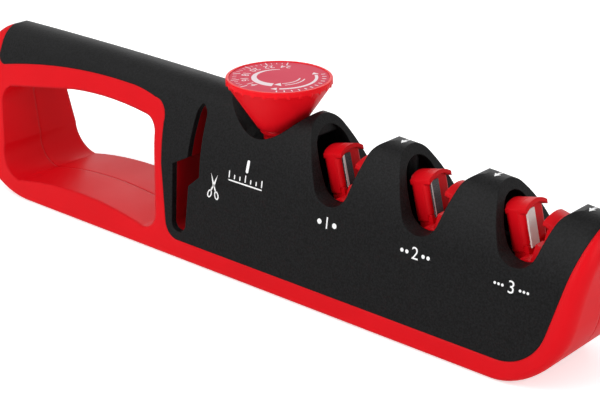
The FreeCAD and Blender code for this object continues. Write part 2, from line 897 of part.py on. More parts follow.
base_outside = cut("base_outside", outer_form, fuse("base_openings", [base_limit, hole, hollow]))
base_screw_places = [
    (back_x + s.heel_screw_margin, s.shoulder_z - s.heel_screw_drop),
    (post_edge_x - s.brow_screw_reach, s.grip_high_z - s.brow_screw_drop),
    (post_edge_x - s.rail_screw_reach, s.pad_proud + s.rail_screw_rise),
    (knob_x + s.floor_screw_reach, s.pad_proud + s.floor_screw_rise),
    (s.length / 2 - s.toe_screw_margin, s.pad_proud + s.toe_screw_rise),
]
screw_bosses = [
    rod(f"screw_boss_{number}", s.boss_radius, s.foot_half_width * 2, x, -s.foot_half_width, z, along="Y")
    for number, (x, z) in enumerate(base_screw_places, start=1)
]
inside_floor_z = s.pad_proud + s.wall / 2
post_bosses = [
    rod(f"post_boss_{number}", s.boss_radius, s.post_low_z - inside_floor_z, x, y, inside_floor_z)
    for number, (x, y) in enumerate(post_places, start=1)
]
rib_places = [knob_x, slot_centres[1] - s.block_half_length, slot_centres[2]]
base_ribs = [
    block(
        f"base_rib_{number}",
        (x - s.rib_thickness / 2, x + s.rib_thickness / 2),
        (-s.frame_outer_y, s.frame_outer_y),
        (inside_floor_z, s.frame_low_z),
    )
    for number, x in enumerate(rib_places, start=1)
]
bosses_inside = cut(
    "bosses_inside",
    common("bosses_in_form", [fuse("screw_bosses", screw_bosses), outer_form]),
    fuse("boss_limits", [base_limit, hole]),
)
base_blank = fuse("base_blank", [base_outside, bosses_inside, *post_bosses, *base_ribs])

screw_reach = s.foot_half_width * 0.4
screw_holes = [
    rod(
        f"screw_hole_{number}", s.screw_radius, s.foot_half_width + screw_reach,
        x, -screw_reach, z, along="Y",
    )
    for number, (x, z) in enumerate(base_screw_places, start=1)
]
base_screw_seat = s.shoulder_half_width * 0.5
screw_recesses = [
    rod(
        f"screw_recess_{number}", s.screw_recess_radius, s.foot_half_width,
        x, base_screw_seat, z, along="Y",
    )
    for number, (x, z) in enumerate(base_screw_places, start=1)
]
cover_screw_seat = s.pad_proud + s.screw_head_thickness * 2
cover_screw_recesses = [
    rod(f"cover_screw_recess_{number}", s.screw_recess_radius, cover_screw_seat, x, y, 0)
    for number, (x, y) in enumerate(post_places, start=1)
]
cover_screw_holes = [
    rod(f"cover_screw_hole_{number}", s.screw_radius, s.post_low_z, x, y, 0)
    for number, (x, y) in enumerate(post_places, start=1)
]
pad_places = [
    (x, side * (s.foot_half_width - s.pad_radius * 1.5))
    for x in (heel_x + s.pad_radius, toe_x - s.pad_radius)
    for side in (-1, 1)
]
pad_seats = [
    rod(f"pad_seat_{number}", s.pad_radius, s.pad_thickness, x, y, 0)
    for number, (x, y) in enumerate(pad_places, start=1)
]
base_cuts = fuse(
    "base_cuts",
    [*screw_holes, *screw_recesses, *cover_screw_recesses, *cover_screw_holes, *pad_seats],
)
base_whole = cut("base_whole", base_blank, base_cuts)
half_width = s.foot_half_width + 1
full_span = (back_x - 1, s.length / 2 + s.end_overrun)
base_front_half = common("base_front_half", [
    base_whole,
    block("front_side", full_span, (-half_width, 0), (0, above)),
])
base_rear_half = common("base_rear_half", [
    base_whole,
    block("rear_side", full_span, (0, half_width), (0, above)),
])
foot_pads = fuse("foot_pads", [
    rod(f"pad_{number}", s.pad_radius, s.pad_thickness, x, y, 0)
    for number, (x, y) in enumerate(pad_places, start=1)
])

# Scissors sleeve and its rod

sleeve_clear = s.part_gap
sleeve_loft = tapering_form(
    "sleeve_loft",
    (loft_foot_half - s.wall - sleeve_clear, s.shoulder_half_width - s.wall - sleeve_clear),
    (s.pad_proud - s.wall, s.shoulder_z),
    s.wall + sleeve_clear,
    s.crown_radius - s.wall - sleeve_clear,
)
snip_rod_x = snip_x + s.snip_rod_radius * 0.2
snip_rod_z = s.snip_floor_z + 3
scissor_rod = rod("scissor_rod", s.snip_rod_radius, s.snip_rod_length, snip_rod_x, 0, snip_rod_z)
sleeve_body = common("sleeve_body", [sleeve_outer, sleeve_loft])
rod_seat = rod("rod_seat", s.snip_rod_radius, s.snip_rod_length, snip_rod_x, 0, snip_rod_z)
scissor_sleeve = cut("scissor_sleeve", sleeve_body, fuse("sleeve_cuts", [snip_slot, rod_seat]))

# Knob, dial and shaft

neck_rise = s.knob_top_z - s.knob_band - s.knob_neck_z
cone_slope = (s.knob_radius - s.knob_neck_radius) / neck_rise
inner_top_z = s.knob_top_z - s.dial_depth - s.dial_thickness
inner_low_z = s.knob_neck_z + 4
inner_low_radius = s.knob_neck_radius + (inner_low_z - s.knob_neck_z) * cone_slope - s.knob_wall
inner_top_radius = s.dial_radius - s.dial_ledge
knob_shell = turned("knob_shell", [
    Step(s.knob_stem_radius, s.knob_stem_z),
    Step(s.knob_stem_radius, s.knob_neck_z - s.knob_neck_ease),
    Step(s.knob_neck_radius, s.knob_neck_z),
    Step(s.knob_radius, s.knob_top_z - s.knob_band),
    Step(s.knob_radius, s.knob_top_z - s.knob_rim_ease),
    Turn(s.knob_radius - s.knob_rim_ease, s.knob_top_z, s.knob_rim_ease),
    Step(s.dial_radius, s.knob_top_z),
    Step(s.dial_radius, inner_top_z),
    Step(inner_top_radius, inner_top_z),
    Step(inner_low_radius, inner_low_z),
    Step(0, inner_low_z),
    Step(0, s.knob_stem_z),
])
place(knob_shell, knob_x)
shaft_length = s.knob_stem_z + s.shaft_grip - s.shaft_low_z


def keyed_rod(name, radius, low, high):
    """A round rod with one flat, which carries the turn."""
    flat = radius - (s.shaft_radius - s.shaft_flat)
    side = Size(math.sqrt(radius.value ** 2 - flat.value ** 2),
                f"sqrt({(radius * radius - flat * flat).text})")
    body = prism(name, "XY_Plane", low, high, [
        Turn(-radius, 0, radius * 1.00001),
        Turn(flat, -side, radius * 1.00001),
        Step(flat, side),
    ])
    place(body, knob_x)
    return body


knob_shaft = keyed_rod("knob_shaft", s.shaft_radius, s.shaft_low_z, s.shaft_low_z + shaft_length)
shaft_hole = keyed_rod("shaft_hole", s.shaft_radius, s.knob_stem_z - 1, s.shaft_low_z + shaft_length)
knob_body = cut("knob_body", knob_shell, shaft_hole)
knob_dial = rod("knob_dial", s.dial_radius, s.dial_thickness, knob_x, 0, inner_top_z)
washer_low_z = s.shaft_low_z - s.washer_thickness
knob_washer = rod("knob_washer", s.washer_radius, s.washer_thickness, knob_x, 0, washer_low_z)
knob_screw = turned("knob_screw", [
    Step(s.screw_head_radius - s.screw_head_ease, washer_low_z - s.screw_head_height),
    Turn(s.screw_head_radius, washer_low_z - s.screw_head_height + s.screw_head_ease, s.screw_head_ease),
    Step(s.screw_head_radius, washer_low_z),
    Step(0, washer_low_z),
    Step(0, washer_low_z - s.screw_head_height),
])
place(knob_screw, knob_x)

bearing_bore = s.knob_stem_radius + s.turn_clearance
bearing_top_z = s.pocket_floor_z
flange_top_z = s.pocket_floor_z - s.slot_skin
knob_bearing = turned("knob_bearing", [
    Step(s.bearing_radius, s.bearing_low_z),
    Step(s.bearing_radius, flange_top_z - s.bearing_flange_thickness),
    Step(s.bearing_flange_radius, flange_top_z - s.bearing_flange_thickness),
    Step(s.bearing_flange_radius, flange_top_z),
    Step(s.bearing_radius, flange_top_z),
    Step(s.bearing_radius, bearing_top_z),
    Step(bearing_bore, bearing_top_z),
    Step(bearing_bore, s.bearing_low_z),
])
place(knob_bearing, knob_x)

# Scroll cam

cam_top_z = s.cam_low_z + s.cam_thickness
cam_blank = turned("cam_blank", [
    Step(s.cam_radius - s.cam_ease, s.cam_low_z),
    Step(s.cam_radius, s.cam_low_z + s.cam_ease),
    Step(s.cam_radius, cam_top_z - s.cam_ease),
    Step(s.cam_radius - s.cam_ease, cam_top_z),
    Step(s.cam_hub_radius, cam_top_z),
    Step(s.cam_hub_radius, s.cam_hub_top_z),
    Step(0, s.cam_hub_top_z),
    Step(0, s.cam_low_z),
])
place(cam_blank, knob_x)
hub_bore = keyed_rod(
    "hub_bore", s.shaft_radius + s.turn_clearance, s.cam_low_z - 1, s.cam_hub_top_z + 1,
)


def scroll_groove(name, start_angle):
    """A spiral groove whose radius grows as its angle falls."""
    turn = SIZES["scroll_turn"]
    travel = SIZES["scroll_travel"]
    half = SIZES["follower_radius"] + SIZES["slide_clearance"]
    overrun = SIZES["scroll_overrun"]
    steps = 8
    sides = ([], [])
    for step in range(steps + 1):
        along = -overrun + (turn + 2 * overrun) * step / steps
        angle = math.radians(start_angle - along)
        radius = SIZES["scroll_radius"] + travel * along / turn
        direction = Vector(math.cos(angle), math.sin(angle), 0)
        sides[0].append(direction * (radius - half))
        sides[1].append(direction * (radius + half))
    inner = Part.BSplineCurve()
    inner.interpolate(sides[0])
    outer = Part.BSplineCurve()
    outer.interpolate(sides[1])
    caps = []
    for index, sign in ((0, 1), (-1, -1)):
        low, high = sides[0][index], sides[1][index]
        middle = (low + high) / 2
        outward = (high - low).normalize()
        sideways = Vector(-outward.y, outward.x, 0) * sign
        caps.append(Part.Arc(low, middle + sideways * half, high))
    wire = Part.Wire([inner.toShape(), caps[1].toShape(), outer.toShape(), caps[0].toShape()])
    solid = Part.Face(wire).extrude(Vector(0, 0, SIZES["scroll_depth"] + 1))
    item = doc.addObject("Part::Feature", name)
    item.Shape = solid
    place(item, knob_x, 0, s.cam_low_z - 1)
    return item


scroll_cam = cut("scroll_cam", cam_blank, fuse(
    "cam_cuts", [hub_bore, scroll_groove("left_groove", 180.0), scroll_groove("right_groove", 0.0)],
))


def coil_spring(name):
    """An open coil of flat wire, from the hub to the stem."""
    radius = SIZES["spring_radius"]
    half_height = SIZES["spring_wire"] / 2
    half_width = SIZES["spring_width"] / 2
    low = SIZES["cam_hub_top_z"] + half_height
    high = SIZES["knob_stem_z"] - half_height
    turns = SIZES["spring_turns"]
    helix = Part.makeHelix((high - low) / turns, high - low, radius)
    corners = [
        Vector(radius + across * half_width, 0, up * half_height)
        for across, up in ((-1, -1), (1, -1), (1, 1), (-1, 1), (-1, -1))
    ]
    profile = Part.makePolygon(corners)
    item = doc.addObject("Part::Feature", name)
    item.Shape = Part.Wire(helix.Edges).makePipeShell([profile], True, True)
    place(item, knob_x, 0, s.cam_hub_top_z + s.spring_wire / 2)
    return item


knob_spring = coil_spring("knob_spring")

# Carriers: built upright with the pivot at the origin and the face toward +X

block_face = -s.bar_proud
block_back = block_face - s.block_depth
inner_knuckle = (-(s.block_half_length - s.side_clearance), -s.side_clearance)
outer_knuckle = (s.block_half_length, s.slider_outer_y)
tail_angle = s.carrier_tilt + s.carrier_swing / 2


def carrier(name, drop):
    """One abrasive carrier: block with arched roof, two knuckles and a tail; drop lowers the roof."""
    half = s.block_half_length
    top = s.block_top - drop
    main = prism(f"{name}_block", "YZ_Plane", block_back, block_face, [
        Step(half - s.block_ease, s.block_low),
        Turn(half, s.block_low + s.block_ease, s.block_ease),
        Step(half, top),
        Step(-half, top),
        Step(-half, s.block_low + s.block_ease),
        Turn(-half + s.block_ease, s.block_low, s.block_ease),
    ])
    soften(main, f"{name}_soft_edges", s.block_rounding)
    rise = s.roof_rise
    roof_radius = (half * half + rise * rise) / (2 * rise)
    roof = prism(f"{name}_roof", "YZ_Plane", block_back, s.roof_lip, [
        Step(half, top),
        Turn(-half, top, roof_radius),
        Step(-half, top - s.roof_thickness),
        Turn(half, top - s.roof_thickness, roof_radius, left=False),
    ])
    filler = prism(f"{name}_filler", "YZ_Plane", block_back, block_face, [
        Step(half, top),
        Turn(-half, top, roof_radius),
    ])
    web = block(
        f"{name}_web",
        (block_back + 1, block_face), inner_knuckle, (0, s.block_low + 0.5),
    )
    inner = rod(f"{name}_inner_knuckle", s.knuckle_radius,
                inner_knuckle[1] - inner_knuckle[0], 0, inner_knuckle[0], 0, along="Y")
    outer = rod(f"{name}_outer_knuckle", s.knuckle_radius,
                outer_knuckle[1] - outer_knuckle[0], 0, outer_knuckle[0], 0, along="Y")
    cheek = block(
        f"{name}_cheek",
        (block_back + 1, block_face),
        (half - s.cheek_bite, outer_knuckle[1]),
        (s.block_low - s.cheek_drop, s.block_low + s.cheek_rise),
    )
    stem = block(
        f"{name}_stem",
        (block_back + 1, block_face), outer_knuckle, (0, s.block_low),
    )
    tail_tip = rod(f"{name}_tail_tip", s.tail_radius,
                   outer_knuckle[1] - outer_knuckle[0], -(s.tail_reach * sine(tail_angle)),
                   outer_knuckle[0], -(s.tail_reach * cosine(tail_angle)), along="Y")
    tail = block(
        f"{name}_tail",
        (-s.tail_width / 2, s.tail_width / 2), outer_knuckle, (-s.tail_reach, 0),
    )
    tail.Placement = Placement(Vector(0, 0, 0), Rotation(Vector(0, 1, 0), tail_angle.value))
    offset = tail.Placement.Rotation.multVec(Vector(-s.tail_width.value / 2, 0, -s.tail_reach.value))
    tail.Placement.Base = Vector(offset.x, outer_knuckle[0].value, offset.z)
    for axis in "xyz":
        tail.setExpression(f"Placement.Base.{axis}", None)
    solid = fuse(f"{name}_solid", [main, filler, roof, web, inner, outer, cheek, stem, tail, tail_tip])
    bore = rod(f"{name}_bore", s.pin_radius + s.turn_clearance, s.slider_outer_y * 3,
               0, -s.slider_outer_y * 1.5, 0, along="Y")
    seat = block(
        f"{name}_bar_seat",
        (-s.bar_depth, s.roof_lip * 2), bar_span, (s.bar_start, s.bar_start + s.bar_height - drop),
    )
    relief = block(
        f"{name}_relief",
        (block_face, s.roof_lip * 2),
        (-s.slider_outer_y, s.slider_outer_y),
        (s.knuckle_radius * 0.9, s.block_low + 8),
    )
    return cut(name, solid, fuse(f"{name}_cuts", [bore, seat, relief]))


bar_start_y = -(s.block_half_length - s.bar_margin)
bar_span = (bar_start_y, bar_start_y + s.bar_width)


def abrasive_bar(name, drop):
    """One abrasive bar, in the carrier's own upright frame."""
    body = prism(name, "XZ_Plane", bar_span[0], bar_span[1], [
        Step(-s.bar_depth, s.bar_start),
        Step(-s.bar_ease, s.bar_start),
        Turn(0, s.bar_start + s.bar_ease, s.bar_ease),
        Step(0, s.bar_start + s.bar_height - drop),
        Step(-s.bar_depth, s.bar_start + s.bar_height - drop),
    ])
    return body


def lean(item, x, side):
    """Put an upright piece in its slot: side -1 leans left, side 1 is turned round and leans right."""
    angle = s.carrier_tilt.value * side
    turn = Rotation(Vector(0, 1, 0), angle)
    if side > 0:
        turn = turn.multiply(Rotation(Vector(0, 0, 1), 180))
    item.Placement = Placement(Vector(x.value, 0, s.pivot_z.value), turn)
    place(item, x, 0, s.pivot_z)


NAMES = ("coarse", "medium", "fine")
carriers = []
bars = []
for grade, x in zip(NAMES, slot_centres):
    for side, word, drop in ((-1, "left", as_size(0)), (1, "right", s.toe_side_drop)):
        piece = carrier(f"{grade}_{word}_carrier", drop)
        lean(piece, x, side)
        carriers.append(piece)
        bar = abrasive_bar(f"{grade}_{word}_bar", drop)
        lean(bar, x, side)
        bars.append(bar)

pivot_pins = [
    rod(f"{grade}_pivot_pin", s.pin_radius, s.frame_outer_y * 2, x, -s.frame_outer_y, s.pivot_z, along="Y")
    for grade, x in zip(NAMES, slot_centres)
]

# Sliders

swing_rest = s.tail_reach * sine(s.carrier_swing / 2)
slider_top_z = s.slider_low_z + s.slider_height
notch_floor_z = s.pivot_z - s.tail_reach - s.tail_radius - s.slide_clearance * 2


def slider(name, side):
    """A bar with a notch for each tail and a follower pin in the scroll; side -1 is the front."""
    near, far = s.slider_inner_y, s.slider_outer_y
    span = (near, far) if side > 0 else (-far, -near)
    start_x = knob_x + side * s.scroll_radius - s.tab_width / 2
    bar = block(f"{name}_bar", (start_x, slot_centres[2] + s.slider_tail), span, (s.slider_low_z, slider_top_z))
    reach = near + s.tab_bite
    tab_span = (-s.tab_width / 2, reach) if side > 0 else (-reach, s.tab_width / 2)
    tab = block(f"{name}_tab", (start_x, start_x + s.tab_width), tab_span, (s.slider_low_z, slider_top_z))
    pin_top = s.cam_low_z + s.scroll_depth - s.slide_clearance * 2
    pin = rod(f"{name}_follower", s.follower_radius, pin_top - slider_top_z,
              knob_x + side * s.scroll_radius, 0, slider_top_z)
    notches = []
    for number, x in enumerate(slot_centres, start=1):
        middle = x - side * swing_rest
        half = s.tail_radius + s.slide_clearance
        notches.append(block(
            f"{name}_notch_{number}",
            (middle - half, middle + half), (-s.foot_half_width, s.foot_half_width), (notch_floor_z, above),
        ))
    return cut(name, fuse(f"{name}_solid", [bar, tab, pin]), fuse(f"{name}_notches", notches))


front_slider = slider("front_slider", -1)
rear_slider = slider("rear_slider", 1)

# Carrier frame

frame_floor_z = s.frame_low_z + s.frame_floor
floor_plate = block(
    "frame_floor_plate",
    (knob_x - s.frame_lead, slot_last_x + s.frame_tail),
    (-s.frame_outer_y, s.frame_outer_y),
    (s.frame_low_z, frame_floor_z),
)
rails = []
for side in (-1, 1):
    near, far = s.frame_inner_y, s.frame_outer_y
    span = (near, far) if side > 0 else (-far, -near)
    rails.append(block(
        f"frame_rail_{'rear' if side > 0 else 'front'}",
        (knob_x + s.frame_step, slot_last_x + s.frame_tail), span, (s.frame_low_z, s.pivot_z - s.part_gap),
    ))
    rails.append(block(
        f"cam_rail_{'rear' if side > 0 else 'front'}",
        (knob_x - s.frame_lead, knob_x + s.frame_step), span, (s.frame_low_z, s.cam_low_z - s.turn_clearance),
    ))
frame_holes = [
    rod(f"frame_hole_{number}", s.post_radius + s.slide_clearance, s.frame_floor * 3, x, y, s.frame_low_z - 2)
    for number, (x, y) in enumerate(post_places[1:], start=1)
]
frame_windows = [
    block(
        f"frame_window_{number}",
        (x - s.frame_window_half, x + s.frame_window_half),
        (-s.slider_inner_y + 1, s.slider_inner_y - 1),
        (s.frame_low_z - 1, frame_floor_z + 1),
    )
    for number, x in enumerate(slot_centres, start=1)
]
frame_solid = fuse("frame_solid", [floor_plate, *rails])
carrier_frame = cut("carrier_frame", frame_solid, fuse("frame_cuts", [*frame_holes, *frame_windows, *pin_rests]))

# Screws

cover_screw_solids = []
for number, (x, y) in enumerate(post_places, start=1):
    head = rod(f"cover_screw_head_{number}", s.screw_head_radius, s.screw_head_thickness,
               x, y, cover_screw_seat - s.screw_head_thickness)
    shank = rod(f"cover_screw_shank_{number}", s.screw_radius, s.snip_floor_z + 2, x, y, cover_screw_seat)
    cover_screw_solids.append(fuse(f"cover_screw_{number}", [head, shank]))
cover_screws = doc.addObject("Part::Compound", "cover_screws")
cover_screws.Links = cover_screw_solids

base_screw_solids = []
for number, (x, z) in enumerate(base_screw_places, start=1):
    head = rod(f"base_screw_head_{number}", s.screw_head_radius, s.screw_head_thickness,
               x, base_screw_seat, z, along="Y")
    shank = rod(f"base_screw_shank_{number}", s.screw_radius, base_screw_seat + screw_reach,
                x, -screw_reach, z, along="Y")
    base_screw_solids.append(fuse(f"base_screw_{number}", [head, shank]))
base_screws = doc.addObject("Part::Compound", "base_screws")
base_screws.Links = base_screw_solids

# Check and export

NODES = [
    base_front_half, base_rear_half, top_cover, scissor_sleeve, scissor_rod, foot_pads,
    carrier_frame, knob_bearing, cover_screws, base_screws, *pivot_pins,
    scroll_cam, knob_spring, knob_body, knob_dial, knob_shaft, knob_washer, knob_screw,
    front_slider, rear_slider, *carriers, *bars,
]


def check_document():
    for item in doc.Objects:
        if "Invalid" in item.State or "Error" in item.State:
            raise RuntimeError(f"{item.Label} failed: {item.State}")
    for item in NODES:
        if item.Shape.isNull() or not item.Shape.isValid():
            raise RuntimeError(f"{item.Label} has no valid shape")


def export_nodes():
    os.makedirs("parts", exist_ok=True)
    for item in NODES:
        item.Shape.exportStep(f"parts/{item.Label}.step")
        print(item.Label, len(item.Shape.Solids), round(item.Shape.Volume, 1))


doc.recompute()
check_document()
export_nodes()
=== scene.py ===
"""Studio scene of a pull-through knife sharpener with an adjustable angle.

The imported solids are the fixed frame. X runs from the handle to the toe, Y
across the blade slots and Z up from the table. Blender works in metres, and
sizes written in millimetres pass through the MM factor.
"""
from __future__ import annotations

import logging
import math
from dataclasses import dataclass
from enum import Enum

import bmesh
import bpy
from mathutils import Matrix, Vector
from mathutils.bvhtree import BVHTree


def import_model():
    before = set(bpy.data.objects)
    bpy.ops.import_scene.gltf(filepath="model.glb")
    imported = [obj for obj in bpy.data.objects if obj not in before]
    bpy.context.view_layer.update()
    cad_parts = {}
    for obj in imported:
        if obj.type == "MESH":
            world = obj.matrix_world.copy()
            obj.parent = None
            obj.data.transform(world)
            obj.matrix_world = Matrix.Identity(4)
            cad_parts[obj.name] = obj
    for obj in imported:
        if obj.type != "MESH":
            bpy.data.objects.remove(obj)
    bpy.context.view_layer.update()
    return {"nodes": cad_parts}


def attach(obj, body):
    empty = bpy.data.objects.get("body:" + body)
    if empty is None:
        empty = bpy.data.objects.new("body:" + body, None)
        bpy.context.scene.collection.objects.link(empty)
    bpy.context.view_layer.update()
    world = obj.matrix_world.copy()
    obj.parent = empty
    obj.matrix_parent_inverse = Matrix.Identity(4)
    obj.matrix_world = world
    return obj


MM = 0.001
NEAR = 1e-3  # two measures in millimetres closer than this are the same
LOG = logging.getLogger("sharpener")
KNOB_X = 4.7
SLOT_X = (41.7, 79.2, 116.7)


def linear(hex_colour: str) -> tuple[float, float, float, float]:
    """Turn an sRGB hex colour to linear light.

    Args:
        hex_colour: Six hex digits with a leading hash.

    Returns:
        Linear red, green, blue and an alpha of one.
    """
    channels = [int(hex_colour[i:i + 2], 16) / 255 for i in (1, 3, 5)]
    lit = [c / 12.92 if c <= 0.04045 else ((c + 0.055) / 1.055) ** 2.4 for c in channels]
    return (lit[0], lit[1], lit[2], 1.0)


def around(radius: float, degrees: float) -> tuple[float, float]:
    """Find a point on a circle round the origin.

    Args:
        radius: The circle's radius.
        degrees: The point's angle, to the left from +X.

    Returns:
        The point's two coordinates.
    """
    angle = math.radians(degrees)
    return (math.cos(angle) * radius, math.sin(angle) * radius)


def soften(sheet: bmesh.types.BMesh, edges: list, offset: float, segments: int) -> None:
    """Round some edges of a mesh.

    Args:
        sheet: The mesh.
        edges: The edges to round.
        offset: How far the rounding reaches.
        segments: The number of facets across it.
    """
    bmesh.ops.bevel(
        sheet, geom=edges, offset=offset, segments=segments, profile=0.5, affect="EDGES",
        material=-1,
    )


def settle(sheet: bmesh.types.BMesh, place: tuple[float, float, float], turn: Matrix) -> None:
    """Turn a drawing in millimetres, move it to its place and bring it to metres.

    Args:
        sheet: The drawing.
        place: Where its origin goes, in millimetres.
        turn: How it is turned before that.
    """
    matrix = Matrix.Scale(MM, 4) @ Matrix.Translation(place) @ turn
    bmesh.ops.transform(sheet, matrix=matrix, verts=sheet.verts[:])


class NodeSheet:
    """The node tree of a material or a world."""

    def __init__(self, owner: bpy.types.ID, shader: str = "Principled BSDF") -> None:
        """Start with the owner's own shader and output.

        Args:
            owner: The new material or world.
            shader: The name of the shader that it comes with.
        """
        self.owner = owner
        self.owner.use_nodes = True
        self.tree = self.owner.node_tree
        self.shader = self.tree.nodes[shader]

    def add(
        self, kind: str, settings: dict | None = None, links: dict | None = None
    ) -> bpy.types.Node:
        """Add a node with its settings and links.

        Args:
            kind: The node's type name without the ShaderNode prefix.
            settings: Attribute or input names with their values.
            links: Input names or numbers with the output sockets that feed them.

        Returns:
            The new node.
        """
        node = self.tree.nodes.new(f"ShaderNode{kind}")
        for key, value in (settings or {}).items():
            if hasattr(node, key):
                setattr(node, key, value)
            else:
                node.inputs[key].default_value = value
        for key, socket in (links or {}).items():
            self.tree.links.new(socket, node.inputs[key])
        return node

    def feed(self, key: str, socket: bpy.types.NodeSocket) -> None:
        """Link a socket to one of the shader's inputs."""
        self.tree.links.new(socket, self.shader.inputs[key])

    def fix(self, values: dict) -> None:
        """Set plain values on the shader's own sockets."""
        for key, value in values.items():
            self.shader.inputs[key].default_value = value


@dataclass(frozen=True)
class MouldedPlastic:
    """Injection-moulded plastic with a spark-eroded grain and faint handling wear.

    The grain breaks up the highlights, the slow tone and gloss changes keep a
    large face from looking flat, and the edge radius draws a soft line of light
    along sharp edges.
    """

    name: str
    colour: str
    shade: str
    roughness: float
    grain_mm: float
    grain_depth_mm: float
    edge_mm: float = 0.35
    shine: float = 0.09
    speckled: bool = False
    ior: float = 1.53
    flow_mm: float = 35.714
    rub_mm: float = 18.182
    rub_swing: float = 0.035
    edge_samples: int = 6

    def make(self) -> bpy.types.Material:
        """Build the plastic.

        Returns:
            The finished material.
        """
        sheet = NodeSheet(bpy.data.materials.new(self.name))
        place = sheet.add("TexCoord").outputs["Object"]
        flow = sheet.add(
            "TexNoise",
            {"Scale": 1 / (self.flow_mm * MM), "Detail": 3.0, "Roughness": 0.55},
            {"Vector": place},
        )
        grain = sheet.add(
            "TexNoise",
            {"Scale": 1 / (self.grain_mm * MM), "Detail": 2.0, "Roughness": 0.6},
            {"Vector": place},
        )
        tone = sheet.add(
            "MapRange", {"From Min": 0.35, "From Max": 0.65},
            {"Value": (grain if self.speckled else flow).outputs["Fac"]},
        )
        mixed = sheet.add(
            "MixRGB", {"Color1": linear(self.colour), "Color2": linear(self.shade)},
            {"Fac": tone.outputs["Result"]},
        )
        sheet.feed("Base Color", mixed.outputs["Color"])
        rubbed = sheet.add(
            "TexNoise",
            {"Scale": 1 / (self.rub_mm * MM), "Detail": 4.0, "Distortion": 0.6},
            {"Vector": place},
        )
        gloss = sheet.add(
            "MapRange",
            {"From Min": 0.3, "From Max": 0.7,
             "To Min": self.roughness - self.rub_swing, "To Max": self.roughness + self.rub_swing},
            {"Value": rubbed.outputs["Fac"]},
        )
        sheet.feed("Roughness", gloss.outputs["Result"])
        edge = sheet.add("Bevel", {"samples": self.edge_samples, "Radius": self.edge_mm * MM})
        bump = sheet.add(
            "Bump",
            {"Strength": 1.0, "Distance": self.grain_depth_mm * MM},
            {"Height": grain.outputs["Fac"], "Normal": edge.outputs["Normal"]},
        )
        sheet.feed("Normal", bump.outputs["Normal"])
        sheet.fix({"IOR": self.ior, "Specular IOR Level": self.shine})
        return sheet.owner


@dataclass(frozen=True)
class TurnedSteel:
    """Machined or drawn steel with fine tool lines along one axis.

    The lines stretch the highlights and dull them a little, as a lathe does.
    """

    name: str
    colour: str
    roughness: float
    line_mm: float
    stretch: tuple[float, float, float]
    gloss_swing: float = 0.07
    line_depth_mm: float = 0.01

    def make(self) -> bpy.types.Material:
        """Build the steel.

        Returns:
            The finished material.
        """
        sheet = NodeSheet(bpy.data.materials.new(self.name))
        place = sheet.add("TexCoord").outputs["Object"]
        turned = sheet.add("Mapping", {"Scale": self.stretch}, {"Vector": place})
        lines = sheet.add(
            "TexNoise", {"Scale": 1 / (self.line_mm * MM), "Detail": 3.0},
            {"Vector": turned.outputs["Vector"]},
        )
        gloss = sheet.add(
            "MapRange",
            {"To Min": self.roughness - self.gloss_swing,
             "To Max": self.roughness + self.gloss_swing},
            {"Value": lines.outputs["Fac"]},
        )
        sheet.feed("Roughness", gloss.outputs["Result"])
        bump = sheet.add(
            "Bump", {"Strength": 0.6, "Distance": self.line_depth_mm * MM},
            {"Height": lines.outputs["Fac"]},
        )
        sheet.feed("Normal", bump.outputs["Normal"])
        sheet.fix({"Base Color": linear(self.colour), "Metallic": 1.0})
        return sheet.owner


@dataclass(frozen=True)
class BondedGrit:
    """Abrasive grit held in a flat bar.

    Pale grains on a darker bond give the bar a fine sparkle and a dry look.
    """

    name: str
    colour: str
    grain_colour: str
    grit_mm: float
    roughness: float
    metallic: float
    grit_depth_mm: float = 0.05

    def make(self) -> bpy.types.Material:
        """Build the abrasive.

        Returns:
            The finished material.
        """
        sheet = NodeSheet(bpy.data.materials.new(self.name))
        place = sheet.add("TexCoord").outputs["Object"]
        grit = sheet.add("TexVoronoi", {"Scale": 1 / (self.grit_mm * MM)}, {"Vector": place})
        pick = sheet.add(
            "MapRange", {"From Min": 0.1, "From Max": 0.5}, {"Value": grit.outputs["Distance"]}
        )
        mixed = sheet.add(
            "MixRGB", {"Color1": linear(self.grain_colour), "Color2": linear(self.colour)},
            {"Fac": pick.outputs["Result"]},
        )
        sheet.feed("Base Color", mixed.outputs["Color"])
        bump = sheet.add(
            "Bump", {"Strength": 0.8, "Distance": self.grit_depth_mm * MM},
            {"Height": grit.outputs["Distance"]},
        )
        sheet.feed("Normal", bump.outputs["Normal"])
        sheet.fix({"Roughness": self.roughness, "Metallic": self.metallic})
        return sheet.owner


@dataclass(frozen=True)
class PadPrint:
    """Thin pad-printed ink.

    Small patches of thinner ink keep the marks from looking cut out of paper.
    """

    name: str
    colour: str
    thin_colour: str
    roughness: float = 0.5
    patch_mm: float = 0.3846

    def make(self) -> bpy.types.Material:
        """Build the ink.

        Returns:
            The finished material.
        """
        sheet = NodeSheet(bpy.data.materials.new(self.name))
        place = sheet.add("TexCoord").outputs["Object"]
        cover = sheet.add(
            "TexNoise", {"Scale": 1 / (self.patch_mm * MM), "Detail": 2.0}, {"Vector": place}
        )
        patch = sheet.add(
            "MapRange", {"From Min": 0.62, "From Max": 0.75}, {"Value": cover.outputs["Fac"]}
        )
        mixed = sheet.add(
            "MixRGB", {"Color1": linear(self.colour), "Color2": linear(self.thin_colour)},
            {"Fac": patch.outputs["Result"]},
        )
        sheet.feed("Base Color", mixed.outputs["Color"])
        sheet.fix({"Roughness": self.roughness})
        return sheet.owner


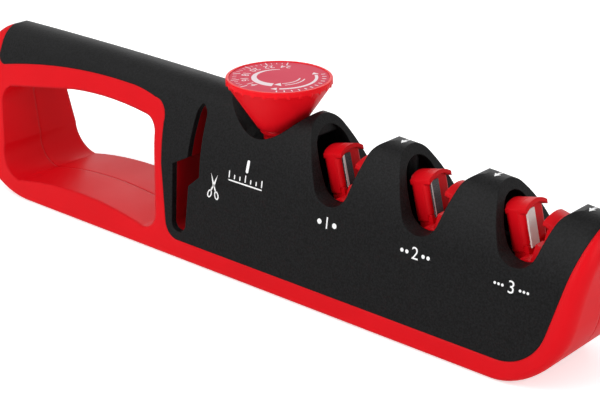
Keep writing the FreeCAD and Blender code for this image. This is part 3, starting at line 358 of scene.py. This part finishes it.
@dataclass(frozen=True)
class PaintedBackdrop:
    """The matt pale floor, which glows a little for the eye so that it looks white."""

    name: str = "pale_floor"
    colour: str = "#f4f4f4"
    glow_colour: str = "#ffffff"
    glow: float = 0.5
    roughness: float = 0.9

    def make(self) -> bpy.types.Material:
        """Build a floor that keeps the object's shadow and looks white around it.

        Returns:
            The finished material.
        """
        sheet = NodeSheet(bpy.data.materials.new(self.name))
        path = sheet.add("LightPath")
        seen = sheet.add(
            "MapRange", {"To Max": self.glow}, {"Value": path.outputs["Is Camera Ray"]}
        )
        sheet.feed("Emission Strength", seen.outputs["Result"])
        sheet.fix({
            "Base Color": linear(self.colour), "Roughness": self.roughness,
            "Emission Color": linear(self.glow_colour),
        })
        return sheet.owner


class Finish(Enum):
    """The finishes of the sharpener's pieces."""

    # satin shells with a wide soft light along the rail and the handle hole
    SHELL_RED_ABS = MouldedPlastic("red_shell_abs", "#d90c18", "#d30a16", 0.38, 0.35, 0.006, 1.6)
    # the same plastic with crisper edges for the small carriers
    RED_ABS = MouldedPlastic("red_satin_abs", "#d90c18", "#d30a16", 0.36, 0.35, 0.006, 0.5)
    # a red darkened with painted shade, so that the scissors slot looks deep
    LINER_RED_ABS = MouldedPlastic(
        "red_abs_painted_slot_shade", "#96060f", "#8e050d", 0.4, 0.35, 0.006, 0.4, 0.06
    )
    # a smoother and brighter red that sets the knob off from the shells
    KNOB_RED_ABS = MouldedPlastic("red_knob_abs", "#ee131f", "#e9111c", 0.32, 0.30, 0.004)
    # matt red film painted paler than the knob as a painted sheen, under the pale print
    DIAL_FILM = MouldedPlastic("red_dial_painted_sheen", "#d84c60", "#d4465a", 0.62, 0.25, 0.004)
    # coarse grain with dark and light specks, so that the cover looks dry and not glossy
    BLACK_ABS = MouldedPlastic(
        "black_grained_abs", "#070707", "#171718", 0.46, 0.7, 0.08, 0.45, 0.1, True
    )
    # plain grey of the hidden frame
    GREY_NYLON = MouldedPlastic("grey_nylon", "#3c3e41", "#37393c", 0.5, 0.5, 0.01)
    # milky and smooth, for the sliding pieces
    WHITE_ACETAL = MouldedPlastic("white_acetal", "#e8e6e0", "#e2e0da", 0.38, 0.4, 0.004)
    # dull black that hardly reflects
    PAD_RUBBER = MouldedPlastic("black_pad_rubber", "#161616", "#131313", 0.78, 0.6, 0.03)
    # bright with long fine lines
    BRIGHT_STEEL = TurnedSteel("bright_drawn_steel", "#c9c9c6", 0.24, 0.25, (0.15, 1.0, 1.0))
    # dark bar with large grains
    COARSE_GRIT = BondedGrit("coarse_diamond_grit", "#2c2c2f", "#5c5c60", 0.28, 0.5, 0.35)
    # mid-grey bar with smaller and brighter grains
    MEDIUM_GRIT = BondedGrit("medium_diamond_grit", "#4a4b4e", "#85868a", 0.2, 0.45, 0.5)
    # near-white and even
    WHITE_CERAMIC = BondedGrit("white_alumina_ceramic", "#eceae4", "#dcdad4", 0.15, 0.42, 0.0)
    # a near-white line on the bare metal edge of a grey bar, a painted highlight along that edge
    GROUND_EDGE = BondedGrit("bar_edge_painted_highlight", "#e4e4e2", "#f4f4f2", 0.1, 0.4, 0.25)
    # clear white marks on black
    WHITE_INK = PadPrint("white_pad_print", "#f2f2f2", "#d8d8d8")
    # pale pink marks that stay quiet on the dial
    DIAL_INK = PadPrint("pale_dial_print", "#e9d7dc", "#d9b9c0")


MATERIALS: dict[str, bpy.types.Material] = {}


def finish_of(finish: Finish) -> bpy.types.Material:
    """Give a finish's material, made once.

    Args:
        finish: The finish to look up.

    Returns:
        Its material.
    """
    if finish.name not in MATERIALS:
        MATERIALS[finish.name] = finish.value.make()
    return MATERIALS[finish.name]


class Lane(Enum):
    """The way that a print is laid on its surface."""

    FRONT = "front"
    TOP = "top"
    DIAL = "dial"


class FlatMark:
    """A flat printed mark, drawn in millimetres before it is laid on a surface."""

    bar_sides = 16
    oval_sides = 24
    arc_step = 6.0  # degrees in one facet of an arc
    digit_share = 0.7  # a digit's height over the font's size
    turn_slack = 1.01  # a share of the turn above this is the start, rounded backwards

    def __init__(self) -> None:
        """Start an empty drawing."""
        self.sheet = bmesh.new()

    def disc(self, u: float, v: float, width: float, sides: int = oval_sides) -> list:
        """Draw a filled disc.

        Args:
            u: Its middle, sideways.
            v: Its middle, upwards.
            width: Its width.
            sides: The number of its sides.

        Returns:
            Its vertices.
        """
        made = bmesh.ops.create_circle(self.sheet, cap_ends=True, segments=sides, radius=0.5)
        bmesh.ops.scale(self.sheet, vec=(width, width, 1.0), verts=made["verts"])
        bmesh.ops.translate(self.sheet, vec=(u, v, 0.0), verts=made["verts"])
        return made["verts"]

    def bar(self, u: float, v: float, width: float, length: float, turn: float = 0.0) -> None:
        """Draw a bar with round ends.

        Args:
            u: Its middle, sideways.
            v: Its middle, upwards.
            width: Its width.
            length: Its whole length, upwards before it is turned.
            turn: Its turn in degrees, to the left.
        """
        made = self.disc(0.0, 0.0, width, self.bar_sides)
        stretch = (length - width) / 2
        for side in (-1, 1):
            ends = [vert for vert in made if vert.co.y * side > NEAR]
            bmesh.ops.translate(self.sheet, vec=(0.0, side * stretch, 0.0), verts=ends)
        self.put(made, u, v, turn)

    def head(self, u: float, v: float, width: float, length: float, turn: float = 0.0) -> None:
        """Draw a pointed arrow head or blade.

        Args:
            u: The middle of its foot, sideways.
            v: The middle of its foot, upwards.
            width: Its width at the foot.
            length: Its length from the foot to the tip.
            turn: Its turn in degrees, to the left.
        """
        made = bmesh.ops.create_circle(self.sheet, cap_ends=True, segments=3, radius=1.0)["verts"]
        across = [vert.co.x for vert in made]
        along = [vert.co.y for vert in made]
        bmesh.ops.translate(self.sheet, vec=(0.0, -min(along), 0.0), verts=made)
        size = (width / (max(across) - min(across)), length / (max(along) - min(along)), 1.0)
        bmesh.ops.scale(self.sheet, vec=size, verts=made)
        self.put(made, u, v, turn)

    def ring(
        self, u: float, v: float, across: float, along: float, line: float, turn: float = 0.0
    ) -> None:
        """Draw an oval loop.

        Args:
            u: Its middle, sideways.
            v: Its middle, upwards.
            across: Its outer width.
            along: Its outer height.
            line: The width of its line.
            turn: Its turn in degrees, to the left.
        """
        made = bmesh.ops.create_circle(
            self.sheet, cap_ends=False, segments=self.oval_sides, radius=0.5
        )["verts"]
        bmesh.ops.scale(self.sheet, vec=(across, along, 1.0), verts=made)
        rim = list({edge for vert in made for edge in vert.link_edges})
        fresh = bmesh.ops.extrude_edge_only(self.sheet, edges=rim)["geom"]
        inner = [item for item in fresh if isinstance(item, bmesh.types.BMVert)]
        keep = (1.0 - 2 * line / across, 1.0 - 2 * line / along, 1.0)
        bmesh.ops.scale(self.sheet, vec=keep, verts=inner)
        self.put(made + inner, u, v, turn)

    def arc(
        self, radius: float, line: float, first: float, last: float, taper: float = 1.0
    ) -> None:
        """Draw a curved band round the middle.

        Args:
            radius: The radius of its middle line.
            line: Its width at the first angle.
            first: Where it starts, in degrees from +u.
            last: Where it ends.
            taper: Its width at the last angle over that at the first.
        """
        swept = last - first
        before = set(self.sheet.verts)
        start = [
            self.sheet.verts.new((radius + side * line / 2, 0.0, 0.0)) for side in (-1, 1)
        ]
        edge = self.sheet.edges.new(start)
        self.put(start, 0.0, 0.0, first)
        bmesh.ops.spin(
            self.sheet, geom=start + [edge], cent=(0, 0, 0), axis=(0, 0, 1),
            angle=math.radians(swept), steps=max(6, int(abs(swept) / self.arc_step)),
            use_duplicate=False,
        )
        for vert in self.sheet.verts:
            if taper == 1.0 or vert in before:
                continue
            turned = math.degrees(math.atan2(vert.co.y, vert.co.x)) - first
            share = (turned / swept) % (360.0 / abs(swept))
            if share <= self.turn_slack:
                keep = 1.0 + (taper - 1.0) * share
                vert.co = vert.co.normalized() * (radius + (vert.co.length - radius) * keep)

    def put(self, verts: list, u: float, v: float, turn: float) -> None:
        """Turn and move drawn vertices.

        Args:
            verts: The vertices.
            u: The way to go, sideways.
            v: The way to go, upwards.
            turn: The turn in degrees, to the left, made first.
        """
        matrix = Matrix.Rotation(math.radians(turn), 3, "Z")
        bmesh.ops.rotate(self.sheet, cent=(0, 0, 0), matrix=matrix, verts=verts)
        bmesh.ops.translate(self.sheet, vec=(u, v, 0.0), verts=verts)

    def text(self, words: str, u: float, v: float, height: float, turn: float = 0.0) -> None:
        """Draw a numeral.

        Args:
            words: The digits to draw.
            u: The middle, sideways.
            v: The middle, upwards.
            height: The height of the digits.
            turn: Its turn in degrees, to the left.
        """
        curve = bpy.data.curves.new("digits", "FONT")
        curve.body = words
        curve.align_x = "CENTER"
        curve.align_y = "CENTER"
        curve.size = height / self.digit_share
        curve.resolution_u = 3
        holder = bpy.data.objects.new("digits", curve)
        before = set(self.sheet.verts)
        self.sheet.from_mesh(holder.to_mesh())
        holder.to_mesh_clear()
        bpy.data.objects.remove(holder)
        self.put([vert for vert in self.sheet.verts if vert not in before], u, v, turn)


@dataclass
class Frame:
    """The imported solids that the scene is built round."""

    nodes: dict
    facet_steps: tuple[float, float] = (1.6, 0.8)
    print_lift: float = 0.06
    print_thickness: float = 0.025
    probe: float = 100.0

    def add(
        self, name: str, sheet: bmesh.types.BMesh, body: str, slot: str, finish: Finish
    ) -> None:
        """Make a finished piece and let it ride a body.

        Args:
            name: The piece's name.
            sheet: Its mesh, in metres and in place; it is freed.
            body: The body that it moves with.
            slot: The record's material slot; not used.
            finish: Its finish.
        """
        mesh = bpy.data.meshes.new(name)
        sheet.to_mesh(mesh)
        sheet.free()
        mesh.materials.append(finish_of(finish))
        piece = bpy.data.objects.new(name, mesh)
        bpy.context.scene.collection.objects.link(piece)
        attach(piece, body)
        LOG.info("added %s in %s", name, finish.name)

    def tree(self, name: str) -> BVHTree:
        """Give a solid's surface for laying prints on.

        Args:
            name: The solid's node.

        Returns:
            A search tree of its faces.
        """
        sheet = bmesh.new()
        sheet.from_mesh(self.nodes[name].data)
        tree = BVHTree.FromBMesh(sheet)
        sheet.free()
        return tree

    def press(
        self, name: str, mark: FlatMark, place: tuple[float, float, float], lane: Lane,
        finish: Finish, turn: float = 0.0,
    ) -> None:
        """Lay a flat mark on the surface that it is printed on.

        Args:
            name: The print's name.
            mark: The drawing, in millimetres.
            place: The mark's middle in millimetres.
            lane: The way it is laid on.
            finish: Its ink.
            turn: Its turn in its own plane, in degrees to the left.
        """
        sheet = mark.sheet
        front = lane is Lane.FRONT
        bmesh.ops.triangulate(sheet, faces=sheet.faces[:])
        for reach in self.facet_steps:
            long_edges = [edge for edge in sheet.edges if edge.calc_length() > reach]
            bmesh.ops.subdivide_edges(sheet, edges=long_edges, cuts=1, use_grid_fill=True)
            bmesh.ops.triangulate(sheet, faces=sheet.faces[:])
        upright = Matrix.Rotation(math.radians(90.0 if front else 0.0), 4, "X")
        settle(sheet, place, upright @ Matrix.Rotation(math.radians(turn), 4, "Z"))
        out = Vector((0.0, -1.0, 0.0)) if front else Vector((0.0, 0.0, 1.0))
        if lane is not Lane.DIAL:
            surface = self.tree("top_cover")
            for vert in sheet.verts:
                hit = surface.ray_cast(vert.co + out * self.probe * MM, -out)[0]
                if hit is not None:
                    vert.co = hit + out * self.print_lift * MM
        bmesh.ops.recalc_face_normals(sheet, faces=sheet.faces[:])
        for face in sheet.faces:
            face.normal_update()
            if face.normal.dot(out) < 0:
                face.normal_flip()
        bmesh.ops.solidify(sheet, geom=sheet.faces[:], thickness=self.print_thickness * MM)
        self.add(name, sheet, "knob" if lane is Lane.DIAL else "root", "white_acetal", finish)

    def dress(self, names: tuple[str, ...], finish: Finish) -> None:
        """Give carried-over solids a finish.

        Args:
            names: The node names.
            finish: Their finish.
        """
        for name in names:
            node = self.nodes[name]
            node.data.materials.clear()
            node.data.materials.append(finish_of(finish))
            LOG.info("dressed %s as %s", name, finish.name)


@dataclass
class Shells:
    """The red base halves, the black cover and the scissors slot's liner."""

    def build(self, frame: Frame) -> None:
        """Dress the outer shells.

        Args:
            frame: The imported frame.
        """
        frame.dress(("base_front_half", "base_rear_half"), Finish.SHELL_RED_ABS)
        # the liner's darker red is painted shade inside the slot
        frame.dress(("scissor_sleeve",), Finish.LINER_RED_ABS)
        frame.dress(("top_cover",), Finish.BLACK_ABS)
        frame.dress(("scissor_rod", "cover_screws", "base_screws"), Finish.BRIGHT_STEEL)
        frame.dress(("foot_pads",), Finish.PAD_RUBBER)


@dataclass
class Knob:
    """The angle knob with its dial, shaft and spring, sizes in millimetres."""

    collar_radius: float = 6.9
    collar_span: tuple[float, float] = (52.4, 55.4)
    collar_sides: int = 72
    collar_ease: float = 0.4

    def build(self, frame: Frame) -> None:
        """Dress the knob's pieces.

        Args:
            frame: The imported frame.
        """
        frame.dress(("knob_body",), Finish.KNOB_RED_ABS)
        # the dial's paler red is a painted sheen
        frame.dress(("knob_dial",), Finish.DIAL_FILM)
        frame.dress(
            ("knob_shaft", "knob_washer", "knob_screw", "knob_spring"), Finish.BRIGHT_STEEL
        )
        frame.dress(("scroll_cam",), Finish.WHITE_ACETAL)
        frame.dress(("knob_bearing",), Finish.BLACK_ABS)
        self.collar(frame)

    def collar(self, frame: Frame) -> None:
        """Close the neck of the cone with a collar round the stem.

        Args:
            frame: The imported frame.
        """
        sheet = bmesh.new()
        low, high = self.collar_span
        bmesh.ops.create_cone(
            sheet, cap_ends=True, segments=self.collar_sides, radius1=self.collar_radius,
            radius2=self.collar_radius, depth=high - low,
        )
        foot = [edge for edge in sheet.edges if all(vert.co.z < 0 for vert in edge.verts)]
        soften(sheet, foot, self.collar_ease, 3)
        settle(sheet, (KNOB_X, 0.0, (low + high) / 2), Matrix.Identity(4))
        for face in sheet.faces:
            face.smooth = len(face.verts) == 4
        frame.add("knob_stem_collar", sheet, "knob", "red_shell", Finish.KNOB_RED_ABS)


@dataclass
class Station:
    """One blade slot with its two abrasive carriers, sizes in millimetres.

    Lengths along the carrier are measured from its pivot pin, before it leans.
    """

    name: str
    grit: Finish
    middle_x: float
    pivot_z: float = 35.2
    lean: float = 14.0
    jacket_back: float = -7.8
    jacket_front: float = -2.3
    jacket_half: float = 6.04
    jacket_low: float = 4.6
    jacket_top: float = 18.65
    crown_rise: float = 2.05
    crown_cuts: int = 5
    corner_ease: float = 2.2
    rim_ease: float = 0.3
    rim_angle: float = 0.9
    toe_side_drop: float = 2.2
    edge_x: float = -0.05
    edge_front: float = -4.3
    edge_span: tuple[float, float] = (5.9, 17.6)
    edge_thickness: float = 0.24
    edge_width: float = 0.45

    def build(self, frame: Frame) -> None:
        """Dress the slot's carriers and bars.

        Args:
            frame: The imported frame.
        """
        for side, drop in (("left", 0.0), ("right", self.toe_side_drop)):
            frame.dress((f"{self.name}_{side}_carrier",), Finish.RED_ABS)
            frame.dress((f"{self.name}_{side}_bar",), self.grit)
            self.jacket(frame, side, drop)
            # the coated bars get a near-white strip along their edge, a painted highlight
            if self.grit is not Finish.WHITE_CERAMIC:
                self.bright_edge(frame, side, drop)
        frame.dress((f"{self.name}_pivot_pin",), Finish.BRIGHT_STEEL)

    def lean_in(self, sheet: bmesh.types.BMesh, side: str) -> None:
        """Lean an upright piece into its slot.

        Args:
            sheet: The piece, in millimetres with its pivot at the origin.
            side: Left leans to the handle, right is turned round and leans to the toe.
        """
        turn = Matrix.Rotation(math.radians(-self.lean), 4, "Y")
        if side == "right":
            turn = Matrix.Rotation(math.radians(self.lean), 4, "Y")
            turn = turn @ Matrix.Rotation(math.pi, 4, "Z")
        settle(sheet, (self.middle_x, 0.0, self.pivot_z), turn)

    def jacket(self, frame: Frame, side: str, drop: float) -> None:
        """Mould the rounded back of a carrier.

        Args:
            frame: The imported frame.
            side: The carrier's side.
            drop: How much lower its top is.
        """
        top = self.jacket_top - drop
        sheet = bmesh.new()
        made = bmesh.ops.create_cube(sheet, size=1.0)["verts"]
        size = (self.jacket_front - self.jacket_back, self.jacket_half * 2, top - self.jacket_low)
        bmesh.ops.scale(sheet, vec=size, verts=made)
        middle = ((self.jacket_front + self.jacket_back) / 2, 0.0, (top + self.jacket_low) / 2)
        bmesh.ops.translate(sheet, vec=middle, verts=made)
        corners = [
            edge for edge in sheet.edges
            if all(abs(vert.co.x - self.jacket_back) < NEAR for vert in edge.verts)
            and abs(edge.verts[0].co.z - edge.verts[1].co.z) > 1.0
        ]
        soften(sheet, corners, self.corner_ease, 6)
        for step in range(-self.crown_cuts, self.crown_cuts + 1):
            geom = sheet.verts[:] + sheet.edges[:] + sheet.faces[:]
            bmesh.ops.bisect_plane(
                sheet, geom=geom, plane_co=(0.0, float(step), 0.0), plane_no=(0, 1, 0)
            )
        for vert in sheet.verts:
            if vert.co.z > top - NEAR:
                vert.co.z += self.crown_rise * (1 - (vert.co.y / self.jacket_half) ** 2)
        rim = [
            edge for edge in sheet.edges
            if all(vert.co.z > top - NEAR for vert in edge.verts)
            and edge.calc_face_angle(0.0) > self.rim_angle
        ]
        soften(sheet, rim, self.rim_ease, 2)
        self.lean_in(sheet, side)
        body = f"{self.name}_{side}"
        frame.add(f"{body}_jacket", sheet, body, "red_shell", Finish.RED_ABS)

    def bright_edge(self, frame: Frame, side: str, drop: float) -> None:
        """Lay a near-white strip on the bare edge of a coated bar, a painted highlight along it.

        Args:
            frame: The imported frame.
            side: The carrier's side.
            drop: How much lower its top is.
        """
        low, high = self.edge_span[0], self.edge_span[1] - drop
        sheet = bmesh.new()
        made = bmesh.ops.create_cube(sheet, size=1.0)["verts"]
        size = (self.edge_thickness, self.edge_width, high - low)
        bmesh.ops.scale(sheet, vec=size, verts=made)
        middle = (self.edge_x, self.edge_front + self.edge_width / 2, (low + high) / 2)
        bmesh.ops.translate(sheet, vec=middle, verts=made)
        self.lean_in(sheet, side)
        body = f"{self.name}_{side}"
        frame.add(f"{body}_bar_edge", sheet, body, "steel", Finish.GROUND_EDGE)


@dataclass
class Chassis:
    """The inner frame and the sliders."""

    def build(self, frame: Frame) -> None:
        """Dress the inner pieces."""
        frame.dress(("carrier_frame",), Finish.GREY_NYLON)
        frame.dress(("front_slider", "rear_slider"), Finish.WHITE_ACETAL)


@dataclass
class CoverPrints:
    """The white marks on the front flank and on the hump crowns, sizes in millimetres."""

    index_place: tuple[float, float] = (3.7, 42.9)
    index_size: tuple[float, float] = (1.3, 4.6)
    index_turn: float = -2.0
    row_place: tuple[float, float] = (3.3, 37.1)
    tick_pitch: float = 2.6
    tick_count: int = 7
    tick_line: float = 0.5
    tick_lengths: tuple[float, float] = (2.6, 1.6)
    base_drop: float = 0.8
    snip_place: tuple[float, float] = (-11.6, 32.3)
    # sideways, upwards, width, length and turn of one half's pieces; the loop's line comes
    # before its turn
    snip_blade: tuple[float, ...] = (-0.15, -0.3, 1.05, 5.0, -21.0)
    snip_shank: tuple[float, ...] = (-0.7, -1.1, 0.6, 2.6, -26.0)
    snip_loop: tuple[float, ...] = (-1.7, -3.3, 2.1, 3.2, 0.5, -20.0)
    station_z: tuple[float, float, float] = (32.4, 32.2, 31.8)
    digit_height: float = 4.2
    dot_reach: float = 3.3
    dot_sizes: tuple[float, float, float] = (1.9, 1.35, 0.95)
    dot_pitch: float = 1.5
    crown_x: tuple[float, float, float] = (60.45, 97.95, 133.0)
    crown_y: float = 0.6
    # upwards, width and length
    arrow_head: tuple[float, float, float] = (0.3, 2.3, 2.1)
    arrow_shaft: tuple[float, float, float] = (-0.9, 0.75, 2.8)

    def build(self, frame: Frame) -> None:
        """Lay every mark on the cover.

        Args:
            frame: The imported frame.
        """
        self.index(frame)
        self.scissors(frame)
        for number, (x, z) in enumerate(zip(SLOT_X, self.station_z), start=1):
            self.station(frame, number, x, z)
        for number, x in enumerate(self.crown_x, start=1):
            self.arrow(frame, number, x)

    def index(self, frame: Frame) -> None:
        """Print the bar that the dial is read against, over a row of angle ticks.

        Args:
            frame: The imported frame.
        """
        x, z = self.index_place
        bar = FlatMark()
        bar.bar(0.0, 0.0, *self.index_size, turn=self.index_turn)
        frame.press("index_bar_print", bar, (x, 0.0, z), Lane.FRONT, Finish.WHITE_INK)
        row = FlatMark()
        steps = self.tick_count - 1
        for step in range(self.tick_count):
            length = self.tick_lengths[0 if step % 3 == 0 else 1]
            row.bar((step - steps / 2) * self.tick_pitch, length / 2, self.tick_line, length)
        width = self.tick_pitch * steps + self.tick_line
        row.bar(0.0, -self.base_drop, self.tick_line, width, turn=90.0)
        x, z = self.row_place
        frame.press("angle_scale_print", row, (x, 0.0, z), Lane.FRONT, Finish.WHITE_INK)

    def scissors(self, frame: Frame) -> None:
        """Print a plain open pair of scissors beside their slot.

        Args:
            frame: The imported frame.
        """
        x, z = self.snip_place
        mark = FlatMark()
        for side in (-1, 1):
            for draw, (u, *sizes, turn) in (
                (mark.head, self.snip_blade),
                (mark.bar, self.snip_shank),
                (mark.ring, self.snip_loop),
            ):
                draw(side * u, *sizes, turn=side * turn)
        frame.press("scissors_slot_print", mark, (x, 0.0, z), Lane.FRONT, Finish.WHITE_INK)

    def station(self, frame: Frame, number: int, x: float, z: float) -> None:
        """Print a slot's number between dots that grow finer.

        Args:
            frame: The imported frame.
            number: The slot's number.
            x: Its place along the cover.
            z: Its height.
        """
        mark = FlatMark()
        mark.text(str(number), 0.0, 0.0, self.digit_height)
        size = self.dot_sizes[number - 1]
        for side in (-1, 1):
            for step in range(number):
                mark.disc(side * (self.dot_reach + step * size * self.dot_pitch), 0.0, size)
        frame.press(f"slot_{number}_print", mark, (x, 0.0, z), Lane.FRONT, Finish.WHITE_INK)

    def arrow(self, frame: Frame, number: int, x: float) -> None:
        """Print the arrow that shows which way the blade is drawn.

        Args:
            frame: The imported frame.
            number: The hump's number.
            x: The middle of the hump's crown.
        """
        mark = FlatMark()
        mark.head(0.0, *self.arrow_head)
        mark.bar(0.0, *self.arrow_shaft)
        frame.press(
            f"pull_arrow_{number}_print", mark, (x, self.crown_y, 0.0), Lane.TOP,
            Finish.WHITE_INK, turn=180.0,
        )


@dataclass
class DialPrint:
    """The angle scale on the knob's dial, sizes in millimetres and degrees."""

    top_z: float = 72.42
    first_label: int = 14
    label_step: int = 2
    count: int = 6
    front: float = 261.0
    spacing: float = 28.0
    tick_radius: float = 15.8
    fine_radius: float = 15.9
    label_radius: float = 12.4
    label_height: float = 2.8
    tick_size: tuple[float, float] = (0.45, 3.0)
    fine_size: tuple[float, float] = (0.22, 1.5)
    fine_parts: tuple[float, ...] = (0.25, 0.5, 0.75)
    grip_ticks: int = 12
    grip_first: float = 54.0
    grip_pitch: float = 9.6
    grip_size: tuple[float, float] = (0.5, 1.6)
    # radius, line width, first and last angle of each curved band, and the crescent's taper
    arcs: tuple[tuple[float, ...], ...] = (
        (8.9, 3.2, 297.0, 130.0, 0.1),
        (7.4, 0.5, 32.0, -40.0),
        (9.2, 0.5, 28.0, -36.0),
        (13.2, 1.1, 52.0, -48.0),
    )
    # radius, angle, width and length of each arrow head
    heads: tuple[tuple[float, float, float, float], ...] = (
        (8.3, -44.0, 3.4, 2.4),
        (13.2, -52.0, 2.6, 2.2),
        (13.2, 56.0, 2.6, 2.2),
    )

    def build(self, frame: Frame) -> None:
        """Lay the scale on the dial.

        Args:
            frame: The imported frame.
        """
        mark = FlatMark()
        self.scale(mark)
        for arc in self.arcs:
            mark.arc(*arc)
        for step in range(self.grip_ticks):
            where = self.grip_first - step * self.grip_pitch
            mark.bar(*around(self.fine_radius, where), *self.grip_size, where - 90.0)
        for radius, where, width, length in self.heads:
            lean = where + (0.0 if where > 0 else 180.0)
            mark.head(*around(radius, where), width, length, lean)
        frame.press(
            "dial_scale_print", mark, (KNOB_X, 0.0, self.top_z), Lane.DIAL, Finish.DIAL_INK
        )

    def scale(self, mark: FlatMark) -> None:
        """Draw the numbers with their ticks, three fine ones between two numbers.

        Args:
            mark: The drawing.
        """
        for step in range(self.count):
            where = self.front - step * self.spacing
            label = str(self.first_label + step * self.label_step)
            mark.bar(*around(self.tick_radius, where), *self.tick_size, where - 90.0)
            mark.text(label, *around(self.label_radius, where), self.label_height, where + 90.0)
            if step == self.count - 1:
                break
            for part in self.fine_parts:
                fine = where - self.spacing * part
                mark.bar(*around(self.fine_radius, fine), *self.fine_size, fine - 90.0)


@dataclass
class KnobRim:
    """Small grip nubs under the knob's rim, sizes in millimetres."""

    radius: float = 18.95
    sunk: float = 0.12
    top_z: float = 72.0
    count: int = 28
    width: float = 1.7
    height: float = 2.0
    proud: float = 0.2

    def build(self, frame: Frame) -> None:
        """Set the nubs round the rim.

        Args:
            frame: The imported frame.
        """
        sheet = bmesh.new()
        place = (self.radius - self.sunk, 0.0, self.top_z - self.height / 2)
        for step in range(self.count):
            made = bmesh.ops.create_uvsphere(
                sheet, u_segments=12, v_segments=8, radius=0.5
            )["verts"]
            bmesh.ops.scale(sheet, vec=(self.proud * 2, self.width, self.height), verts=made)
            bmesh.ops.translate(sheet, vec=place, verts=made)
            turn = Matrix.Rotation(math.tau * step / self.count, 3, "Z")
            bmesh.ops.rotate(sheet, cent=(0, 0, 0), matrix=turn, verts=made)
        settle(sheet, (KNOB_X, 0.0, 0.0), Matrix.Identity(4))
        for face in sheet.faces:
            face.smooth = True
        frame.add("knob_rim_nubs", sheet, "knob", "red_shell", Finish.KNOB_RED_ABS)


@dataclass(frozen=True)
class SoftBox:
    """A rectangular lamp that faces the object, in metres and watts."""

    name: str
    place: tuple[float, float, float]
    size: tuple[float, float]
    power: float
    target: tuple[float, float, float] = (0.0, 0.0, 0.04)

    def hang(self) -> None:
        """Hang the lamp and aim it."""
        light = bpy.data.lights.new(self.name, "AREA")
        light.shape = "RECTANGLE"
        light.size, light.size_y = self.size
        light.energy = self.power
        lamp = bpy.data.objects.new(self.name, light)
        lamp.location = self.place
        aim = Vector(self.target) - Vector(self.place)
        lamp.rotation_euler = aim.to_track_quat("-Z", "Y").to_euler()
        bpy.context.scene.collection.objects.link(lamp)


@dataclass
class Studio:
    """Floor, lamps and camera, in metres and degrees unless a name says otherwise."""

    lens_mm: float = 94.5
    sensor_mm: float = 36.0
    eye: tuple[float, float, float] = (0.35787, -0.39373, 0.24261)
    pitch: float = 67.7
    heading: float = 41.1
    floor_span: float = 12.0
    fill_level: float = 0.43
    sky_level: float = 1.0
    lamps: tuple[SoftBox, ...] = (
        SoftBox("key_lamp", (-0.35, -0.85, 0.95), (0.9, 0.9), 7.2),
        SoftBox("low_lamp", (-0.1, -1.1, 0.3), (0.8, 0.4), 2.5),
        SoftBox("side_lamp", (1.1, -0.1, 0.5), (0.7, 0.7), 5.0),
        SoftBox("rim_lamp", (-0.5, 0.95, 0.6), (0.9, 0.35), 2.4),
    )

    def build(self) -> None:
        """Set up the floor, the light and the camera."""
        scene = bpy.context.scene
        scene.view_settings.view_transform = "Standard"
        self.floor()
        self.world()
        for lamp in self.lamps:
            lamp.hang()
        camera = bpy.data.objects.new("camera", bpy.data.cameras.new("camera"))
        camera.data.lens = self.lens_mm
        camera.data.sensor_width = self.sensor_mm
        camera.location = self.eye
        camera.rotation_euler = (math.radians(self.pitch), 0.0, math.radians(self.heading))
        scene.collection.objects.link(camera)
        scene.camera = camera

    def floor(self) -> None:
        """Lay the pale floor under the rubber pads."""
        sheet = bmesh.new()
        bmesh.ops.create_grid(sheet, x_segments=1, y_segments=1, size=self.floor_span / 2)
        mesh = bpy.data.meshes.new("floor")
        sheet.to_mesh(mesh)
        sheet.free()
        mesh.materials.append(PaintedBackdrop().make())
        floor = bpy.data.objects.new("floor", mesh)
        bpy.context.scene.collection.objects.link(floor)

    def world(self) -> None:
        """Surround the object with even light, white for the eye and in reflections."""
        sheet = NodeSheet(bpy.data.worlds.new("studio"), "Background")
        path = sheet.add("LightPath")
        seen = path.outputs["Is Camera Ray"]
        for ray in ("Is Glossy Ray", "Is Transmission Ray"):
            either = sheet.add("Math", {"operation": "MAXIMUM"}, {0: seen, 1: path.outputs[ray]})
            seen = either.outputs["Value"]
        level = sheet.add(
            "MapRange", {"To Min": self.fill_level, "To Max": self.sky_level}, {"Value": seen}
        )
        sheet.feed("Strength", level.outputs["Result"])
        sheet.fix({"Color": (1.0, 1.0, 1.0, 1.0)})
        bpy.context.scene.world = sheet.owner


def main() -> None:
    """Load the frame and build each sub-assembly round it."""
    logging.basicConfig(level=logging.INFO, format="%(name)s: %(message)s")
    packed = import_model()
    frame = Frame(packed["nodes"])
    stations = (
        Station("coarse", Finish.COARSE_GRIT, SLOT_X[0], edge_width=1.0),
        Station("medium", Finish.MEDIUM_GRIT, SLOT_X[1]),
        Station("fine", Finish.WHITE_CERAMIC, SLOT_X[2]),
    )
    for assembly in (
        Shells(), Knob(), *stations, Chassis(), CoverPrints(), DialPrint(), KnobRim()
    ):
        assembly.build(frame)
    Studio().build()


if __name__ == "__main__":
    main()
